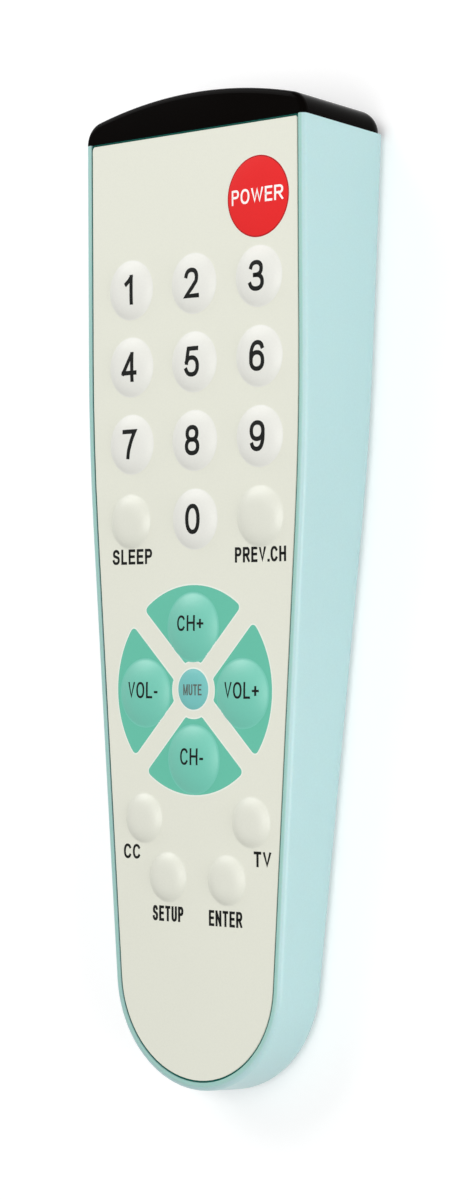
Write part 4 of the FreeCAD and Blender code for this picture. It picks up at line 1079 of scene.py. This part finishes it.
def ribbon(points, pen):
    """The two sides of a stroke of a pen's width; an open stroke also gets square ends."""
    spots = [Vector(point) for point in points]
    closed = (spots[0] - spots[-1]).length < pen / 100
    if closed:
        spots.pop()
    else:
        spots[0] += (spots[0] - spots[1]).normalized() * pen / 2
        spots[-1] += (spots[-1] - spots[-2]).normalized() * pen / 2
    left, right = [], []
    last = len(spots) - 1
    for number, spot in enumerate(spots):
        before = spots[number - 1] if number or closed else spot
        after = spots[(number + 1) % len(spots)] if number < last or closed else spot
        ways = [(b - a).normalized() for a, b in ((before, spot), (spot, after)) if a != b]
        sides = [Vector((-way.y, way.x)) for way in ways]
        side = (sides[0] + sides[-1]).normalized()
        reach = pen / 2 / max(side.dot(sides[0]), MITRE_LEAST)
        left.append(spot + side * reach)
        right.append(spot - side * reach)
    return left, right, closed


def set_text(name, words, wide, tall, pen):
    """Words as a flat mesh of pen strokes, centred, with a given width and height."""
    shares = [LETTERS[letter][0] for letter in words]
    scale = wide / (sum(shares) + LETTER_GAP * (len(words) - 1))
    corners, faces = [], []
    start = -wide / 2
    for letter, share in zip(words, shares):
        inner = max(share * scale - pen, pen / 10)
        for stroke in LETTERS[letter][1]:
            points = [(start + pen / 2 + across * inner, pen / 2 + up * (tall - pen))
                      for across, up in stroke]
            left, right, closed = ribbon(points, pen)
            first = len(corners)
            for pair in zip(left, right):
                corners += [(c.x, min(max(c.y, 0), tall) - tall / 2, 0) for c in pair]
            count = len(left)
            for step in range(count if closed else count - 1):
                a = first + 2 * step
                b = first + 2 * ((step + 1) % count)
                faces.append((a, a + 1, b + 1, b))
        start += (share + LETTER_GAP) * scale
    drawn = bpy.data.meshes.new(name)
    drawn.from_pydata(corners, [], faces)
    piece = new_object(name, drawn)
    face_up(piece)
    return piece


def cut_grid(piece):
    """Cut a flat piece along a grid, so that it can follow a dome."""
    edit(piece)
    for axis, way in enumerate(((1, 0, 0), (0, 1, 0))):
        spots = drawn_spots()
        low = min(spot[axis] for spot in spots)
        high = max(spot[axis] for spot in spots)
        for step in range(1, int((high - low) / INK_GRID) + 1):
            at = low + step * INK_GRID
            cut((at, at, 0), way)
    done()


def ink_piece(piece, key, finish):
    """Lift flat lettering to the film, bend it over a dome, and give it thickness."""
    sizes = film()
    if key:
        cut_grid(piece)
        centre, radius = KEY_PLACES[key]
        rise, power = dome_form(key)
        edit(piece)
        drawn = bmesh.from_edit_mesh(piece.data)
        for vertex in drawn.verts:
            vertex.co.z = dome_height(vertex.co.xy.length, radius, rise, power)
        bmesh.update_edit_mesh(piece.data)
        done()
        place(piece, Matrix.Translation(centre))
    place(piece, Matrix.Translation((0, 0, sizes.level + sizes.ink)))
    face_up(piece)
    apply_modifier(piece, "SOLIDIFY", thickness=sizes.ink_depth, offset=-1.0)
    smooth(piece)
    give(piece, finish)
    if key:
        bend_with_key(piece)
    else:
        place(piece, FACE)
        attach(piece, "case")


def make_legends():
    """Digits and words."""
    ink = ink_finish("ink_dark", tuple(colours().ink))
    pale = ink_finish("ink_pale", tuple(colours().pale_ink))
    grey = ink_finish("ink_grey", tuple(colours().mute_ink))
    for digit in range(10):
        words = str(digit)
        wide = LETTERS[words][0] * DIGIT_TALL * DIGIT_SPREAD * MM
        piece = set_text("legend_" + words, words, wide, DIGIT_TALL * MM, DIGIT_PEN * MM)
        place(piece, Matrix.Translation((DIGIT_SIDEWAYS * MM, 0, 0)))
        ink_piece(piece, "digit_%d_key" % digit, ink)
    names = {"+": "_plus", "-": "_minus", ".": "_"}
    for words, key, across, along, tall, wide, pen in WORDS:
        label = "".join(names.get(letter, letter.lower()) for letter in words)
        piece = set_text("legend_" + label, words, wide * MM, tall * MM, pen * MM)
        place(piece, Matrix.Translation((across * MM, along * MM, 0)))
        finish = {"POWER": pale, "MUTE": grey}.get(words, ink)
        ink_piece(piece, key, finish)


# Stage

FLOOR_SIZE = 6.0
FLOOR_DEPTH = 0.1 * MM

# Lamps, each a square: where it stands, and how wide it is
LAMPS = {
    "head": ((-0.54, 0.56, 0.45), 0.65),
    "top": ((0.2, -0.06, 0.9), 0.55),
    "side": ((0.92, -0.1, 0.28), 0.5),
}

CAMERA_PLACE = (0.40305, -0.04201, 0.44975)
CAMERA_RIGHT = (0.74110722, 0.040742, -0.67014938)
CAMERA_UP = (0.01589712, 0.99681235, 0.07818196)
CAMERA_BACK = (0.67119846, -0.06859466, 0.73809714)
CAMERA_SHIFT = (-0.0001, -0.0013)


def make_lamps():
    """Soft lamps that face the remote, and that the camera doesn't see."""
    for name, (spot, size) in LAMPS.items():
        light = bpy.data.lights.new(name + "_lamp", "AREA")
        light.energy = getattr(stage(), name)
        light.size = size
        made = new_object(name + "_lamp", light)
        made.location = spot
        made.rotation_euler = (-Vector(spot)).to_track_quat("-Z", "Y").to_euler()
        made.visible_camera = False


def make_floor():
    """A wide pale floor that the camera sees as white, with the remote's shadow on it."""
    nothing_selected()
    bpy.ops.mesh.primitive_plane_add(size=FLOOR_SIZE, location=(0, 0, -FLOOR_DEPTH))
    floor = bpy.context.active_object
    floor.name = "floor"
    apply_place(floor)
    made = new_material("floor_paper", tuple(stage().floor), roughness=0.9, spread=0.02,
                        grain=900.0, depth=0.01, drift=0.01, specks=0.01,
                        Specular_IOR_Level=0.1)
    tree = made.node_tree
    path = add_node(tree, "LightPath", (-400, 500))
    seen = add_node(tree, "Math", (-200, 500), operation="MAXIMUM")
    through = add_node(tree, "Math", (-50, 500), operation="MAXIMUM")
    strength = add_node(tree, "Math", (100, 500), {1: stage().lift}, operation="MULTIPLY")
    glow = add_node(tree, "Emission", (0, 300), {"Color": (1, 1, 1, 1)})
    both = add_node(tree, "AddShader", (300, 100))
    wire(tree,
         (path, "Is Camera Ray", seen, 0), (path, "Is Glossy Ray", seen, 1),
         (seen, "Value", through, 0), (path, "Is Transmission Ray", through, 1),
         (through, "Value", strength, 0), (strength, "Value", glow, "Strength"),
         (tree.nodes["Principled BSDF"], "BSDF", both, 0), (glow, "Emission", both, 1),
         (both, "Shader", tree.nodes["Material Output"], "Surface"))
    give(floor, made)


def make_world():
    """Even surroundings, white where the camera sees them."""
    world = bpy.data.worlds.new("studio")
    bpy.context.scene.world = world
    world.use_nodes = True
    tree = world.node_tree
    back = tree.nodes["Background"]
    back.inputs["Color"].default_value = (1, 1, 1, 1)
    path = add_node(tree, "LightPath", (-600, 0))
    level = add_node(tree, "MapRange", (-300, 0), {"To Min": stage().world, "To Max": 1.0})
    wire(tree, (path, "Is Camera Ray", level, "Value"), (level, "Result", back, "Strength"))


def make_camera():
    """The camera, as it was fitted to the photo."""
    data = bpy.data.cameras.new("camera")
    camera = new_object("camera", data)
    data.sensor_width = 36.0
    data.lens = stage().camera_lens / MM
    data.shift_x, data.shift_y = CAMERA_SHIFT
    data.clip_start = 0.01
    data.clip_end = 20
    turned_axes = Matrix((CAMERA_RIGHT, CAMERA_UP, CAMERA_BACK)).transposed().to_4x4()
    camera.matrix_world = Matrix.Translation(CAMERA_PLACE) @ turned_axes
    bpy.context.scene.camera = camera


# Operators

class REMOTE_OT_dress_frame(bpy.types.Operator):
    """Give the case, window, door, cells and inner parts their finishes"""

    bl_idname = "remote.dress_frame"
    bl_label = "Finish the frame"

    def execute(self, context):
        dress_frame()
        return {"FINISHED"}


class REMOTE_OT_film(bpy.types.Operator):
    """Make the flat part of the face film"""

    bl_idname = "remote.make_film"
    bl_label = "Make the film"

    def execute(self, context):
        make_film()
        return {"FINISHED"}


class REMOTE_OT_ring(bpy.types.Operator):
    """Make the ring's green sectors and their pale lines"""

    bl_idname = "remote.make_ring"
    bl_label = "Make the ring's print"

    def execute(self, context):
        make_ring()
        return {"FINISHED"}


class REMOTE_OT_domes(bpy.types.Operator):
    """Make the film's dome over every key"""

    bl_idname = "remote.make_domes"
    bl_label = "Make the domes"

    def execute(self, context):
        make_domes()
        return {"FINISHED"}


class REMOTE_OT_legends(bpy.types.Operator):
    """Print the digits and words"""

    bl_idname = "remote.make_legends"
    bl_label = "Make the lettering"

    def execute(self, context):
        make_legends()
        return {"FINISHED"}


class REMOTE_OT_stage(bpy.types.Operator):
    """Make the floor, lamps, surroundings and camera"""

    bl_idname = "remote.make_stage"
    bl_label = "Make the stage"

    def execute(self, context):
        make_floor()
        make_world()
        make_lamps()
        make_camera()
        context.scene.view_settings.view_transform = "Standard"
        return {"FINISHED"}


class REMOTE_PT_panel(bpy.types.Panel):
    """The remote's sizes, colours and steps"""

    bl_idname = "REMOTE_PT_panel"
    bl_label = "Remote"
    bl_space_type = "VIEW_3D"
    bl_region_type = "UI"
    bl_category = "Remote"

    def draw(self, context):
        layout = self.layout
        for step in STEPS:
            layout.operator(step.bl_idname)
        for group in (film(), colours(), stage()):
            box = layout.box()
            for name in group.__annotations__:
                box.prop(group, name)


STEPS = (REMOTE_OT_dress_frame, REMOTE_OT_film, REMOTE_OT_ring, REMOTE_OT_domes,
         REMOTE_OT_legends, REMOTE_OT_stage)
GROUPS = {"remote_film": RemoteFilm, "remote_colours": RemoteColours,
          "remote_stage": RemoteStage}


def register():
    for item in (*GROUPS.values(), *STEPS, REMOTE_PT_panel):
        bpy.utils.register_class(item)
    for name, group in GROUPS.items():
        setattr(bpy.types.Scene, name, PointerProperty(type=group))


def unregister():
    for name in GROUPS:
        delattr(bpy.types.Scene, name)
    for item in (REMOTE_PT_panel, *reversed(STEPS), *GROUPS.values()):
        bpy.utils.unregister_class(item)


def main():
    register()
    bpy.ops.remote.dress_frame()
    bpy.ops.remote.make_film()
    bpy.ops.remote.make_ring()
    bpy.ops.remote.make_domes()
    bpy.ops.remote.make_legends()
    bpy.ops.remote.make_stage()
    nothing_selected()


if __name__ == "__main__":
    main()
